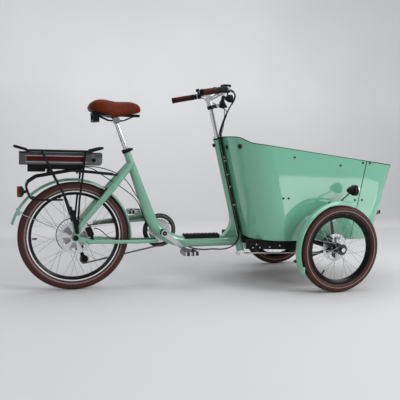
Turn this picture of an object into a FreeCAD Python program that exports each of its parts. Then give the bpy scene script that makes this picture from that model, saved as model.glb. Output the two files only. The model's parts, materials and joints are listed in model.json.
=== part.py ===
import FreeCAD, Part
import math
import os

V = FreeCAD.Vector

# Cargo tricycle, millimetres, +X forward, +Y to the drive side, +Z up
# It is laid out from the ground point under the rear axle and shifted at the end

# Overall layout
WHEELBASE = 1445.0
TRACK = 800.0
OVERRUN = 5.0
SEAT_GAP = 0.3
RUN_GAP = 0.05
PRESS_GAP = 0.02

# Wheels
REAR_BEAD_D = 507.0
FRONT_BEAD_D = 406.0
TYRE_SECTION = 48.0
TYRE_WIDTH = 47.0
TYRE_CROWN_FLAT = 20.0
RIM_WIDTH = 30.0
RIM_HOOK = 6.0
RIM_DEPTH = 24.0
RIM_CROWN = 14.0
TYRE_LAND = 1.0
SPOKE_D = 2.4
SPOKE_SIDES = 6
REAR_SPOKES = 36
FRONT_SPOKES = 28
FLANGE_T = 3.0
HUB_HOLE_INSET = 2.0
SPOKE_SEAT_GAP = 0.8

# Rear hub with its motor drum, axle and brake disc
REAR_AXLE_D = 12.0
REAR_AXLE_LENGTH = 178.0
REAR_DRUM_D = 112.0
REAR_DRUM_WIDTH = 62.0
REAR_FLANGE_D = 128.0
REAR_FLANGE_SPACING = 56.0
REAR_HUB_NECK_D = 44.0
AXLE_NUT_D = 26.0
AXLE_NUT_T = 10.0
DROPOUT_SPACING = 135.0
DROPOUT_T = 6.0
REAR_DISC_D = 180.0
REAR_DISC_Y = -52.0

# Front hubs
FRONT_AXLE_D = 15.0
FRONT_HUB_D = 40.0
FRONT_FLANGE_D = 62.0
FRONT_FLANGE_SPACING = 50.0
FRONT_HUB_WIDTH = 64.0
FRONT_DISC_D = 160.0
FRONT_DISC_OFFSET = 48.0
FRONT_HUB_INNER = 52.0
FRONT_AXLE_END = 40.0
FRONT_NUT_D = 24.0
FRONT_NUT_T = 8.0

# Brake discs and calipers
DISC_T = 2.0
DISC_BAND = 16.0
DISC_WINDOWS = 6
DISC_WINDOW_SHARE = 0.62
DISC_HOLES = 12
DISC_HOLE_D = 7.0
DISC_HUB_D = 44.0
CALIPER_LENGTH = 52.0
CALIPER_DEPTH = 34.0
CALIPER_WIDTH = 24.0
CALIPER_ROUND = 6.0
PAD_GAP = 1.0

# Frame tubes
SEAT_TOP_X = 281.0
SEAT_TOP_Z = 786.0
SEAT_LEAN = 20.5
SEAT_TOP_D = 40.0
BEAM_D = 66.0
BEAM_Z = 250.0
BEAM_BEND = 250.0
MAST_LEAN = 14.4
MAST_BASE_X = 1000.0
MAST_BASE_Z = 190.0
MAST_LENGTH = 690.0
MAST_D = 48.0
MAST_BORE_D = 34.0
GUSSET_RISE = 130.0
GUSSET_RUN = 110.0
GUSSET_T = 40.0
BB_X = 497.0
BB_Z = 314.0
BB_SHELL_D = 44.0
BB_SHELL_WIDTH = 70.0
BB_BORE_D = 35.0
STAY_TOP_D = 40.0
STAY_FOOT_D = 26.0
STAY_JOIN_DROP = 84.0
STAY_Y = 60.0
STAY_END_Y = 72.0
STAY_JOIN_Y = 16.0
STAY_FOOT_RISE = 58.0
STAY_FOOT_X = 18.0
STAY_KNEE_SHARE = 0.36
CHAIN_STAY_D = 22.0
CHAIN_STAY_FRONT_Y = 26.0
CHAIN_STAY_FRONT_X = 470.0
CHAIN_STAY_FRONT_Z = 264.0
CHAIN_STAY_REAR_Z = 278.0
CHAIN_STAY_KNEE_X = 350.0
CHAIN_STAY_KNEE_Y = 38.5
CHAIN_STAY_BEND = 200.0
DROPOUT_REACH = 62.0
DROPOUT_EYE_D = 40.0
DROPOUT_SLOT_D = 12.2
HANGER_DROP = 34.0
BRIDGE_D = 14.0
POST_SOCKET_DEPTH = 330.0

# Step pad on the beam
PAD_LENGTH = 216.0
PAD_START_X = 634.0
PAD_WIDTH = 56.0
PAD_HEIGHT = 12.0
PAD_RIBS = 9
PAD_RIB_T = 3.0
PAD_RIB_LENGTH = 8.0

# Bearings
HEAD_CUP_T = 12.0
HEAD_CUP_LIP = 8.0
HEAD_CUP_LIP_D = 48.0
BB_CUP_T = 20.0
SPINDLE_D = 17.0

# Seatpost, clamp and saddle
POST_D = 27.2
POST_TOP_Z = 944.0
POST_INSERT = 190.0
CLAMP_D = 50.0
CLAMP_HEIGHT = 20.0
CLAMP_LUG = 14.0
CLAMP_LUG_T = 12.0
CLAMP_PIN_D = 6.0
LEVER_LENGTH = 58.0
LEVER_T = 7.0
LEVER_WIDTH = 12.0
SADDLE_SHARES = [
    (0.0, 0.62, 0.30, 0.86), (0.10, 0.94, 0.12, 1.0), (0.26, 1.0, 0.0, 0.99), (0.46, 0.74, 0.04, 0.90),
    (0.68, 0.40, 0.10, 0.88), (0.88, 0.30, 0.18, 0.88), (1.0, 0.20, 0.34, 0.76)]
SADDLE_BACK_X = 74.0
SADDLE_LENGTH = 292.0
SADDLE_WIDTH = 220.0
SADDLE_HEIGHT = 74.0
SADDLE_TOP_Z = 1056.0
SADDLE_BASE_T = 14.0
SADDLE_BASE_INSET = 14.0
RAIL_D = 7.0
RAIL_SPACING = 44.0
RAIL_BEND = 34.0
SEAT_HEAD_D = 40.0
SEAT_HEAD_WIDTH = 58.0
BUMPER_D = 34.0
BUMPER_SPACING = 110.0
BUMPER_HEIGHT = 36.0

# Rear fender and its stays
FENDER_GAP = 30.0
FENDER_BACK = 12.0
FENDER_DROP = 12.0
FENDER_T = 2.0
FENDER_WIDTH = 60.0
FENDER_CROWN = 12.0
REAR_FENDER_FROM = -4.0
REAR_FENDER_TO = 165.0
FENDER_STAY_D = 5.0
FENDER_STAY_ANGLE = 152.0

# Rack, battery and tail light
RACK_REAR_X = -318.0
RACK_FRONT_X = 150.0
RACK_TOP_Z = 770.0
RACK_HALF_WIDTH = 71.0
RACK_TUBE_D = 11.0
RACK_PLATE_T = 3.0
RACK_PLATE_WIDTH = 118.0
WING_RUN = 66.0
WING_RISE = 18.0
WING_T = 7.0
WING_WIDTH = 132.0
WING_ROUND = 24.0
RACK_SLOT_WIDTH = 14.0
RACK_SLOTS = 3
RACK_LOOP_BEND = 40.0
RACK_LOOP_LOW_Z = 510.0
RACK_LOOP_FRONT_X = 222.0
RACK_LEG_FOOT_Z = 336.0
RACK_LEG_FOOT_X = 6.0
RACK_LEG_Y = 91.0
FOOT_PLATE_WIDTH = 22.0
FOOT_PLATE_T = 4.0
RACK_LEG_BEND = 60.0
RACK_LOOP_SHARES = [(1.0, 0.52), (0.5, 0.60), (0.12, 0.47), (0.0, 0.32), (0.06, 0.0), (0.40, 0.0)]
RACK_REAR_LEG_SHARE = 0.30
RACK_FRONT_LEG_SHARE = 0.79
DOCK_BAR_SHARES = [0.38, 0.72]
BATTERY_REAR_X = -290.0
BATTERY_LENGTH = 432.0
BATTERY_WIDTH = 112.0
BATTERY_HEIGHT = 70.0
BATTERY_ROUND = 16.0
BATTERY_END_ROUND = 22.0
DOCK_HEIGHT = 22.0
DOCK_INSET = 8.0
DOCK_LENGTH = 210.0
DOCK_SETBACK = 125.0
CONTROLLER_LENGTH = 90.0
CONTROLLER_HEIGHT = 36.0
CONTROLLER_WIDTH = 84.0
TAIL_LIGHT_D = 60.0
TAIL_LIGHT_DEPTH = 26.0
TAIL_LENS_DEPTH = 10.0
TAIL_LIGHT_Z = 548.0
TAIL_ARM_T = 4.0

# Drive
CHAIN_PITCH = 12.7
CHAINLINE = 47.0
RING_TEETH = 44
COG_TEETH = [28, 24, 20, 18, 16, 14]
ENGAGED_COG = 2
COG_PITCH_Y = 5.0
COG_T = 1.8
RING_T = 2.4
TOOTH_HEIGHT = 5.0
TOOTH_TIP_SHARE = 0.35
CHAIN_PLATE_T = 1.0
CHAIN_PLATE_H = 8.4
CHAIN_INNER_WIDTH = 3.6
ROLLER_D = 7.0
ROLLER_SIDES = 6
PULLEY_TEETH = 11
PULLEY_T = 2.2
PULLEY_HUB_D = 10.0
GUIDE_PULLEY_X = 30.0
GUIDE_PULLEY_Z = 229.0
TENSION_PULLEY_X = 60.0
TENSION_PULLEY_Z = 158.0
CAGE_T = 2.0
CAGE_GAP = 11.0
CAGE_D = 22.0
CAGE_PIN_D = 6.0
DERAILLEUR_BODY_D = 26.0
HANGER_BOLT_D = 12.0
GUARD_DISC_D = 200.0
GUARD_DISC_T = 2.0
GUARD_RING_WIDTH = 26.0
SPIDER_ARMS = 5
SPIDER_ARM_WIDTH = 16.0
SPIDER_D = 60.0
CRANK_LENGTH = 170.0
CRANK_ANGLE = -38.0
CRANK_T = 13.0
CRANK_HUB_D = 38.0
CRANK_EYE_D = 28.0
CRANK_NECK_D = 22.0
CRANK_Y = 66.0
PEDAL_PIN_D = 9.0
PEDAL_LENGTH = 96.0
PEDAL_WIDTH = 84.0
PEDAL_HEIGHT = 22.0
PEDAL_WALL = 12.0
PEDAL_CORE_D = 20.0
PEDAL_SIDE_GAP = 4.0
CHAIN_GUARD_T = 2.0
CHAIN_GUARD_WIDTH = 26.0
CHAIN_GUARD_SKIRT = 46.0
CHAIN_GUARD_RISE = 16.0
CHAIN_GUARD_REAR_X = 108.0
CHAIN_GUARD_FRONT_SHARE = 0.86
CHAIN_GUARD_BRACKET_SHARE = 0.42

# Cargo box
BOX_FLOOR_Z = 285.0
BOX_LOFT_TOP_Z = 900.0
BOX_HALF_WIDTH = 282.0
BOX_WALL = 8.0
BOX_REAR_GAP = 1.0
BOX_FRONT_X = 1784.0
BOX_FRONT_LEAN = 15.2
BOX_REAR_RADIUS = 190.0
BOX_FRONT_RADIUS = 100.0
BOX_EDGE_FRONT_Z = 724.0
BOX_EDGE_SLOPE = 6.7
BOX_HUMP_Z = 871.0
BOX_HUMP_LENGTH = 6.0
BOX_HUMP_RUN = 108.0
BOX_EDGE_T = 5.0
FLOOR_T = 12.0
SEAM_T = 6.0
SEAM_FOOT_X = 1590.0
SEAM_LEAN = 10.7
SCREW_D = 12.0
SCREW_T = 3.0
SCREW_SHARES = [(0.21, 0.82), (0.71, 0.75), (0.015, 0.42), (0.08, 0.42)]
SEAM_SCREW_SHARES = [0.40, 0.78]
SEAM_SCREW_PITCH = 49.0

# Subframe with the axle beam
RAIL_Y = 130.0
RAIL_WIDTH = 40.0
RAIL_HEIGHT = 26.0
RAIL_REAR_X = 1016.0
RAIL_FRONT_X = 1766.0
CROSS_LENGTH = 40.0
CROSS_HALF = 250.0
NECK_WIDTH = 34.0
AXLE_BEAM_D = 40.0
KINGPIN_Y = 315.0
KINGPIN_D = 20.0
KINGPIN_TUBE_D = 34.0
KINGPIN_TUBE_LENGTH = 70.0

# Knuckles
EAR_T = 8.0
EAR_GAP = 0.5
EAR_D = 36.0
KNUCKLE_PLATE_T = 8.0
KNUCKLE_PLATE_GAP = 5.0
KNUCKLE_PLATE_WIDTH = 44.0
LINK_ARM = 70.0
TIE_ARM = 70.0
ARM_WIDTH = 18.0
STUD_D = 8.0
STUD_LENGTH = 24.0
LINK_EYE_D = 20.0
LINK_EYE_T = 12.0
LINK_ROD_D = 12.0
ROD_LIFT = 2.0
FRONT_CALIPER_ANGLE = 140.0
REAR_CALIPER_ANGLE = 22.0
FRONT_FENDER_FROM = 74.0
FRONT_FENDER_TO = 211.0
FRONT_FENDER_GAP = 24.0
FRONT_FENDER_WIDTH = 58.0
STRUT_WIDTH = 16.0
STRUT_T = 4.0
STRUT_FOOT = 14.0
STRUT_ANGLES = [100.0, 196.0]
LAMP_D = 62.0
LAMP_LENGTH = 58.0
LAMP_ANGLE = 90.0
LAMP_RISE = 53.0
LAMP_REACH = 90.0
LAMP_ARM_D = 7.0
LAMP_LENS_T = 6.0
LAMP_Y_SHIFT = 30.0

# Steering post, stem and handlebar
STEER_POST_D = 25.4
STEER_POST_RISE = 232.0
PITMAN_D = 50.0
PITMAN_HEIGHT = 30.0
PITMAN_GAP = 1.0
BAR_D = 22.2
BAR_X = 850.0
BAR_Z = 1138.0
BAR_SHOULDER_X = 838.0
BAR_SHOULDER_Y = 128.0
BAR_SHOULDER_Z = 1146.0
BAR_ELBOW_X = 800.0
BAR_ELBOW_Y = 212.0
BAR_ELBOW_Z = 1131.0
BAR_TIP_X = 634.0
BAR_TIP_Y = 284.0
BAR_TIP_Z = 1098.0
BAR_BEND = 62.0
STEM_D = 30.0
STEM_CLAMP_D = 36.0
STEM_CLAMP_WIDTH = 44.0
STEM_JOINT_D = 38.0
STEM_JOINT_WIDTH = 34.0
GRIP_D = 34.0
GRIP_LENGTH = 132.0
GRIP_CAP = 22.0
GRIP_CAP_D = 36.0
PERCH_WIDTH = 16.0
PERCH_D = 32.0
PERCH_REACH = 30.0
PERCH_T = 12.0
LEVER_PIN_D = 6.0
BRAKE_LEVER_LENGTH = 118.0
BRAKE_LEVER_T = 9.0
BRAKE_LEVER_ROOT = 16.0
BRAKE_LEVER_TIP = 9.0
BRAKE_LEVER_FLARE = 28.0
BELL_D = 40.0
BELL_H = 24.0
DISPLAY_WIDTH = 62.0
DISPLAY_LENGTH = 44.0
DISPLAY_T = 14.0
STEM_LAMP_D = 46.0
STEM_LAMP_LENGTH = 52.0
CONTROL_ROUND = 4.0

# Cable routes, chosen by hand
CABLE_D = 8.0
BAR_CABLE_ROUTE = [
    (867, -75, 1146), (888, -75, 1142), (904, -74, 1120), (899, -72, 1088), (879, -68, 1052),
    (859, -61, 1008), (844, -52, 962), (833, -42, 914), (832, -32.5, 882), (841.87, -31.5, 845.5)]
MAST_CABLE_ROUTE = [
    (842, -31.5, 845), (852, -31.5, 806), (861, -31.8, 765), (876, -31.5, 704), (892, -31.8, 643),
    (907, -31.5, 582), (923, -31.8, 521), (938, -31.5, 460), (953, -31.8, 404), (966, -32, 352),
    (974, -35, 304), (968, -40, 262), (946, -42, 228), (908, -40, 208), (858, -35, 201), (806, -30, 206),
    (754, -27, 202), (710, -24, 207), (676, -19, 214), (656, -14, 224)]
CLIP_LENGTH = 10.0
CLIP_SHARES = [0.24, 0.42, 0.62, 0.80]


# Derived places
REAR_R = REAR_BEAD_D / 2 + TYRE_SECTION
FRONT_R = FRONT_BEAD_D / 2 + TYRE_SECTION
REAR_CENTRE = V(0, 0, REAR_R)
FENDER_CENTRE = V(-FENDER_BACK, 0, REAR_R - FENDER_DROP)
FENDER_RADIUS = REAR_R + FENDER_GAP
HALF_TRACK = TRACK / 2
LEAN = math.radians(MAST_LEAN)
STEER_AXIS = V(-math.sin(LEAN), 0, math.cos(LEAN))
MAST_BASE = V(MAST_BASE_X, 0, MAST_BASE_Z)
MAST_TOP = MAST_BASE + STEER_AXIS * MAST_LENGTH
SEAT_AXIS = V(-math.sin(math.radians(SEAT_LEAN)), 0, math.cos(math.radians(SEAT_LEAN)))
SEAT_TOP = V(SEAT_TOP_X, 0, SEAT_TOP_Z)
BB = V(BB_X, 0, BB_Z)
X = V(1, 0, 0)
Y = V(0, 1, 0)
Z = V(0, 0, 1)
SIDES = {"near": -1, "far": 1}
parts = {}


# Shape helpers

def rod(start, axis, diameter, length):
    return Part.makeCylinder(diameter / 2, length, start, axis)


def rod_between(start, end, diameter):
    span = end - start
    return rod(start, span, diameter, span.Length)


def ring(start, axis, outer, inner, length):
    return rod(start, axis, outer, length).cut(rod(start, axis, inner, length))


def block(low, high):
    size = high - low
    return Part.makeBox(size.x, size.y, size.z, low)


def join(shapes):
    whole = shapes[0].multiFuse(shapes[1:]) if len(shapes) > 1 else shapes[0]
    return whole.removeSplitter()


def mirror_y(shape):
    return shape.mirror(V(0, 0, 0), Y)


def bend_path(points, bend):
    """Straight runs joined by tangent arcs of one radius, or of the largest that each corner allows."""
    edges = []
    here = points[0]
    for before, corner, after in zip(points, points[1:], points[2:]):
        back = (before - corner).normalize()
        ahead = (after - corner).normalize()
        half_turn = (math.pi - back.getAngle(ahead)) / 2
        shorter = min((corner - before).Length, (after - corner).Length)
        radius = bend if bend else 0.45 * shorter / math.tan(half_turn)
        reach = radius * math.tan(half_turn)
        start = corner + back * reach
        end = corner + ahead * reach
        middle = corner + (back + ahead).normalize() * (radius / math.cos(half_turn) - radius)
        edges.append(Part.LineSegment(here, start).toShape())
        edges.append(Part.Arc(start, middle, end).toShape())
        here = end
    edges.append(Part.LineSegment(here, points[-1]).toShape())
    return Part.Wire(edges)


def bent_tube(points, diameter, bend=None):
    path = bend_path(points, bend)
    start_axis = points[1] - points[0]
    section = Part.Wire(Part.makeCircle(diameter / 2, points[0], start_axis))
    return path.makePipeShell([section], True, False)


def outline(points):
    return Part.Face(Part.makePolygon(points + points[:1]))


def turned(profile, centre, angle=360):
    """Revolve a profile of (radius, y) pairs about the Y axis through a centre."""
    face = outline([centre + V(radius, y, 0) for radius, y in profile])
    return face.revolve(centre, Y, angle)


def prism(start, end, diameter, sides):
    """A slim bar with a few flat sides, for parts that repeat many times."""
    axis = (end - start).normalize()
    across = axis.cross(Y).normalize()
    up = axis.cross(across)
    corners = []
    for i in range(sides):
        turn = 2 * math.pi * i / sides
        corners.append(start + (across * math.cos(turn) + up * math.sin(turn)) * (diameter / 2))
    return outline(corners).extrude(end - start)


def slot_plate(a, b, diameter, low_y, thickness):
    """A flat link with round ends, standing in the XZ plane."""
    along = (b - a).normalize()
    side = along.cross(Y) * (diameter / 2)
    back = along * (diameter / 2)
    edges = [
        Part.LineSegment(a + side, b + side).toShape(),
        Part.Arc(b + side, b + back, b - side).toShape(),
        Part.LineSegment(b - side, a - side).toShape(),
        Part.Arc(a - side, a - back, a + side).toShape()]
    face = Part.Face(Part.Wire(edges))
    face.translate(V(0, low_y - a.y, 0))
    return face.extrude(Y * thickness)


def polar(centre, radius, degrees, y=0):
    turn = math.radians(degrees)
    return V(centre.x + radius * math.cos(turn), y, centre.z + radius * math.sin(turn))


def toothed_disc(centre, teeth, low_y, thickness, bore):
    """A sprocket whose pitch circle fits the chain, with flat-topped teeth."""
    pitch_radius = sprocket_radius(teeth)
    root = pitch_radius - TOOTH_HEIGHT / 2
    tip = pitch_radius + TOOTH_HEIGHT / 2
    step = 360 / teeth
    corners = []
    for i in range(teeth):
        corners.append(polar(centre, root, i * step, low_y))
        corners.append(polar(centre, tip, (i + 0.5 - TOOTH_TIP_SHARE / 2) * step, low_y))
        corners.append(polar(centre, tip, (i + 0.5 + TOOTH_TIP_SHARE / 2) * step, low_y))
    disc = outline(corners).extrude(Y * thickness)
    return disc.cut(rod(V(centre.x, low_y, centre.z), Y, bore, thickness))


def sprocket_radius(teeth):
    return CHAIN_PITCH / (2 * math.sin(math.pi / teeth))


def brake_disc(centre, diameter, y):
    """Drilled brake track on a windowed carrier."""
    low = y - DISC_T / 2
    disc = rod(V(centre.x, low, centre.z), Y, diameter, DISC_T)
    disc = disc.cut(rod(V(centre.x, low, centre.z), Y, DISC_HUB_D, DISC_T))
    outer = diameter / 2 - DISC_BAND
    inner = DISC_HUB_D / 2 + DISC_BAND / 2
    step = 360 / DISC_WINDOWS
    tools = []
    for i in range(DISC_WINDOWS):
        begin = i * step
        end = begin + step * DISC_WINDOW_SHARE
        corners = [polar(centre, inner, begin, low), polar(centre, outer, begin, low),
                   polar(centre, outer, (begin + end) / 2, low), polar(centre, outer, end, low),
                   polar(centre, inner, end, low)]
        tools.append(outline(corners).extrude(Y * DISC_T))
    for i in range(DISC_HOLES):
        hole = polar(centre, diameter / 2 - DISC_BAND / 2, 360 * i / DISC_HOLES, low)
        tools.append(hex_hole(hole))
    return disc.cut(Part.makeCompound(tools))


def hex_hole(low):
    corners = [polar(low, DISC_HOLE_D / 2, 60 * i, low.y) for i in range(6)]
    return outline(corners).extrude(Y * DISC_T)


# Wheels

def tyre(centre, bead):
    """Tyre casing with a slightly flat tread, seated on the rim's outer edge."""
    seat = bead / 2 + TYRE_LAND
    outer = bead / 2 + TYRE_SECTION
    half = TYRE_WIDTH / 2
    land = RIM_WIDTH / 2
    crown = TYRE_CROWN_FLAT / 2
    belly = (seat + outer) / 2
    shoulder = outer - (half - crown) / 2
    edge = (half + crown) / 2

    def at(radius, y):
        return centre + V(radius, y, 0)
    edges = [
        Part.LineSegment(at(seat, -land), at(seat, land)).toShape(),
        Part.Arc(at(seat, land), at(belly, half), at(shoulder, edge)).toShape(),
        Part.Arc(at(shoulder, edge), at(outer, 0), at(shoulder, -edge)).toShape(),
        Part.Arc(at(shoulder, -edge), at(belly, -half), at(seat, -land)).toShape()]
    return Part.Face(Part.Wire(edges)).revolve(centre, Y, 360)


def rim(centre, bead):
    """Deep rim section with raised edges and a rounded spoke bed."""
    top = bead / 2
    edge = RIM_WIDTH / 2
    profile = [
        (top, -edge), (top, edge), (top - RIM_HOOK, edge), (top - RIM_CROWN, edge * 0.8),
        (top - RIM_DEPTH, edge * 0.35), (top - RIM_DEPTH, -edge * 0.35), (top - RIM_CROWN, -edge * 0.8),
        (top - RIM_HOOK, -edge)]
    return turned(profile, centre)


def spokes(centre, bead, flange_d, spacing, count):
    """Crossed spokes, drawn in pairs from both faces of each flange to the rim bed."""
    hole_r = flange_d / 2 - HUB_HOLE_INSET
    rim_r = bead / 2 - RIM_DEPTH - SEAT_GAP
    bars = []
    per_side = count // 2
    cross = 360 / per_side * 2
    for side in (-1, 1):
        for i in range(per_side):
            lead = 1 if i % 2 else -1
            at_rim = 360 / per_side * (i + 0.25 * side)
            at_hub = at_rim + lead * cross
            face = side * (spacing / 2) + lead * (FLANGE_T / 2 + SPOKE_D / 2 + SPOKE_SEAT_GAP)
            start = polar(centre, hole_r, at_hub, centre.y + face)
            end = polar(centre, rim_r, at_rim, centre.y + side * SPOKE_D)
            bars.append(prism(start, end, SPOKE_D, SPOKE_SIDES))
    return Part.makeCompound(bars)


def front_hub(centre, side):
    """Front hub shell with two spoke flanges, an inboard disc seat and the brake disc."""
    bore = FRONT_AXLE_D / 2 + RUN_GAP
    shell = FRONT_HUB_D / 2
    flange = FRONT_FLANGE_D / 2
    half = FRONT_HUB_WIDTH / 2
    mid = FRONT_FLANGE_SPACING / 2
    skin = FLANGE_T / 2
    waist = shell * 0.8
    inner = FRONT_HUB_INNER
    disc_seat = DISC_HUB_D / 2 - PRESS_GAP
    profile = [
        (bore, -half), (waist, -half), (waist, -mid - skin), (flange, -mid - skin), (flange, -mid + skin),
        (shell, -mid + skin), (waist, 0), (shell, mid - skin), (flange, mid - skin), (flange, mid + skin),
        (disc_seat, mid + skin), (disc_seat, inner), (bore, inner)]
    hub = turned([(radius, -side * y) for radius, y in profile], centre)
    disc = brake_disc(centre, FRONT_DISC_D, centre.y - side * FRONT_DISC_OFFSET)
    return hub, disc


def rear_hub():
    """Motor drum between the spoke flanges, with a neck for the freewheel and a seat for the brake disc."""
    bore = REAR_AXLE_D / 2 + RUN_GAP
    drum = REAR_DRUM_D / 2
    flange = REAR_FLANGE_D / 2
    half = REAR_DRUM_WIDTH / 2
    mid = REAR_FLANGE_SPACING / 2
    skin = FLANGE_T / 2
    neck = REAR_HUB_NECK_D / 2
    disc_end = REAR_DISC_Y - DISC_T
    round_in = drum * 0.9
    neck_end = DROPOUT_SPACING / 2 - FLANGE_T
    seat = neck - PRESS_GAP
    spigot = bore + CAGE_PIN_D
    profile = [
        (bore, disc_end), (seat, disc_end), (seat, -half - skin), (round_in, -half),
        (drum, -mid - skin), (flange, -mid - skin), (flange, -mid + skin), (drum, -mid + skin),
        (drum, mid - skin), (flange, mid - skin), (flange, mid + skin), (drum, mid + skin),
        (round_in, half), (spigot, half + skin), (spigot, neck_end), (bore, neck_end)]
    return turned(profile, REAR_CENTRE)


def make_wheels():
    parts["rear_tyre"] = tyre(REAR_CENTRE, REAR_BEAD_D)
    parts["rear_rim"] = rim(REAR_CENTRE, REAR_BEAD_D)
    parts["rear_spokes"] = spokes(REAR_CENTRE, REAR_BEAD_D, REAR_FLANGE_D, REAR_FLANGE_SPACING, REAR_SPOKES)
    disc = brake_disc(REAR_CENTRE, REAR_DISC_D, REAR_DISC_Y)
    parts["rear_hub"] = Part.makeCompound([rear_hub(), disc])
    for name, side in SIDES.items():
        centre = front_centre(side)
        parts["front_tyre_" + name] = tyre(centre, FRONT_BEAD_D)
        parts["front_rim_" + name] = rim(centre, FRONT_BEAD_D)
        parts["front_spokes_" + name] = spokes(
            centre, FRONT_BEAD_D, FRONT_FLANGE_D, FRONT_FLANGE_SPACING, FRONT_SPOKES)
        parts["front_hub_" + name] = Part.makeCompound(list(front_hub(centre, side)))
    ends = REAR_AXLE_LENGTH / 2
    axle = rod(V(0, -ends, REAR_R), Y, REAR_AXLE_D, REAR_AXLE_LENGTH)
    face = DROPOUT_SPACING / 2 + DROPOUT_T
    nuts = [rod(V(0, face, REAR_R), Y, AXLE_NUT_D, AXLE_NUT_T),
            rod(V(0, -face, REAR_R), -Y, AXLE_NUT_D, AXLE_NUT_T)]
    parts["rear_axle"] = join([axle] + nuts)


def front_centre(side):
    return V(WHEELBASE, side * HALF_TRACK, FRONT_R)


# Frame

def seat_point(down):
    return SEAT_TOP - SEAT_AXIS * down


def seat_drop():
    """Distance down the seat tube's axis to where it would meet the beam's axis."""
    return (SEAT_TOP_Z - BEAM_Z) / SEAT_AXIS.z


def taper_length():
    return seat_drop() - BEAM_BEND * math.tan(math.radians(90 - SEAT_LEAN) / 2)


def main_tube():
    """Tapered seat tube that bends into the low beam and runs to the mast."""
    corner = seat_point(seat_drop())
    bend_start = seat_point(taper_length())
    upper = Part.makeCone(SEAT_TOP_D / 2, BEAM_D / 2, taper_length(), SEAT_TOP, -SEAT_AXIS)
    mast_x = MAST_BASE_X - (BEAM_Z - MAST_BASE_Z) * math.tan(LEAN)
    lead_in = bend_start + SEAT_AXIS * BEAM_D
    beam = bent_tube([lead_in, corner, V(mast_x, 0, BEAM_Z)], BEAM_D, BEAM_BEND)
    nose = V(mast_x, 0, BEAM_Z)
    keep = beam.cut(rod(bend_start, SEAT_AXIS, BEAM_D * 2, BEAM_D * 2))
    return [upper, keep], nose


def gusset(nose):
    """Web that carries the beam up into the mast with a round inner edge."""
    top = BEAM_Z + BEAM_D / 2 - FLANGE_T
    rear_foot = V(nose.x - GUSSET_RUN, -GUSSET_T / 2, top)
    mast_side = MAST_BASE + STEER_AXIS * ((top + GUSSET_RISE - MAST_BASE_Z) / STEER_AXIS.z)
    peak = V(mast_side.x - MAST_D / 2 + FLANGE_T, -GUSSET_T / 2, top + GUSSET_RISE)
    inner = V(nose.x, -GUSSET_T / 2, top)
    middle = V((rear_foot.x * 0.25 + peak.x * 0.75), -GUSSET_T / 2, (rear_foot.z * 0.72 + peak.z * 0.28))
    edges = [
        Part.Arc(rear_foot, middle, peak).toShape(),
        Part.LineSegment(peak, inner).toShape(),
        Part.LineSegment(inner, rear_foot).toShape()]
    return Part.Face(Part.Wire(edges)).extrude(Y * GUSSET_T)


def seat_stay(side):
    """Wide stay that spreads from the seat tube and tapers to the dropout."""
    join_point = seat_point(STAY_JOIN_DROP)
    foot = V(STAY_FOOT_X, side * STAY_END_Y, REAR_R + STAY_FOOT_RISE)
    knee = join_point + (foot - join_point) * STAY_KNEE_SHARE
    knee.y = side * STAY_Y
    start = V(join_point.x, side * STAY_JOIN_Y, join_point.z)
    run = foot - knee
    taper = Part.makeCone(STAY_TOP_D / 2, STAY_FOOT_D / 2, run.Length, knee, run)
    return join([rod_between(start, knee, STAY_TOP_D), Part.makeSphere(STAY_TOP_D / 2, knee), taper])


def chain_stay(side):
    start = V(CHAIN_STAY_FRONT_X, side * CHAIN_STAY_FRONT_Y, CHAIN_STAY_FRONT_Z)
    knee = V(CHAIN_STAY_KNEE_X, side * CHAIN_STAY_KNEE_Y, CHAIN_STAY_FRONT_Z)
    foot = V(DROPOUT_REACH, side * STAY_END_Y, CHAIN_STAY_REAR_Z)
    return bent_tube([start, knee, foot], CHAIN_STAY_D, CHAIN_STAY_BEND)


def dropout(side):
    """Plate that carries the axle end and joins both stays; the drive side has the derailleur hanger."""
    low = DROPOUT_SPACING / 2 if side > 0 else -DROPOUT_SPACING / 2 - DROPOUT_T
    axle = V(0, low, REAR_R)
    up = V(STAY_FOOT_X, low, REAR_R + STAY_FOOT_RISE)
    ahead = V(DROPOUT_REACH * 1.3, low, CHAIN_STAY_REAR_Z)
    plates = [slot_plate(axle, up, DROPOUT_EYE_D * 0.8, low, DROPOUT_T),
              slot_plate(axle, ahead, DROPOUT_EYE_D * 0.7, low, DROPOUT_T),
              rod(axle, Y, DROPOUT_EYE_D, DROPOUT_T)]
    if side > 0:
        hanger = V(HANGER_BOLT_D, low, REAR_R - HANGER_DROP)
        plates.append(slot_plate(axle, hanger, DROPOUT_EYE_D * 0.6, low, DROPOUT_T))
    plate = join(plates)
    return plate.cut(rod(axle, Y, DROPOUT_SLOT_D, DROPOUT_T))


def stay_bridge():
    """Tube across the seat stays that the rear fender hangs from."""
    toward = seat_point(STAY_JOIN_DROP) - FENDER_CENTRE
    middle = FENDER_CENTRE + toward.normalize() * (FENDER_RADIUS + FENDER_T + BRIDGE_D / 2 + SEAT_GAP)
    return rod(middle - Y * STAY_Y, Y, BRIDGE_D, STAY_Y * 2)


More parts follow.
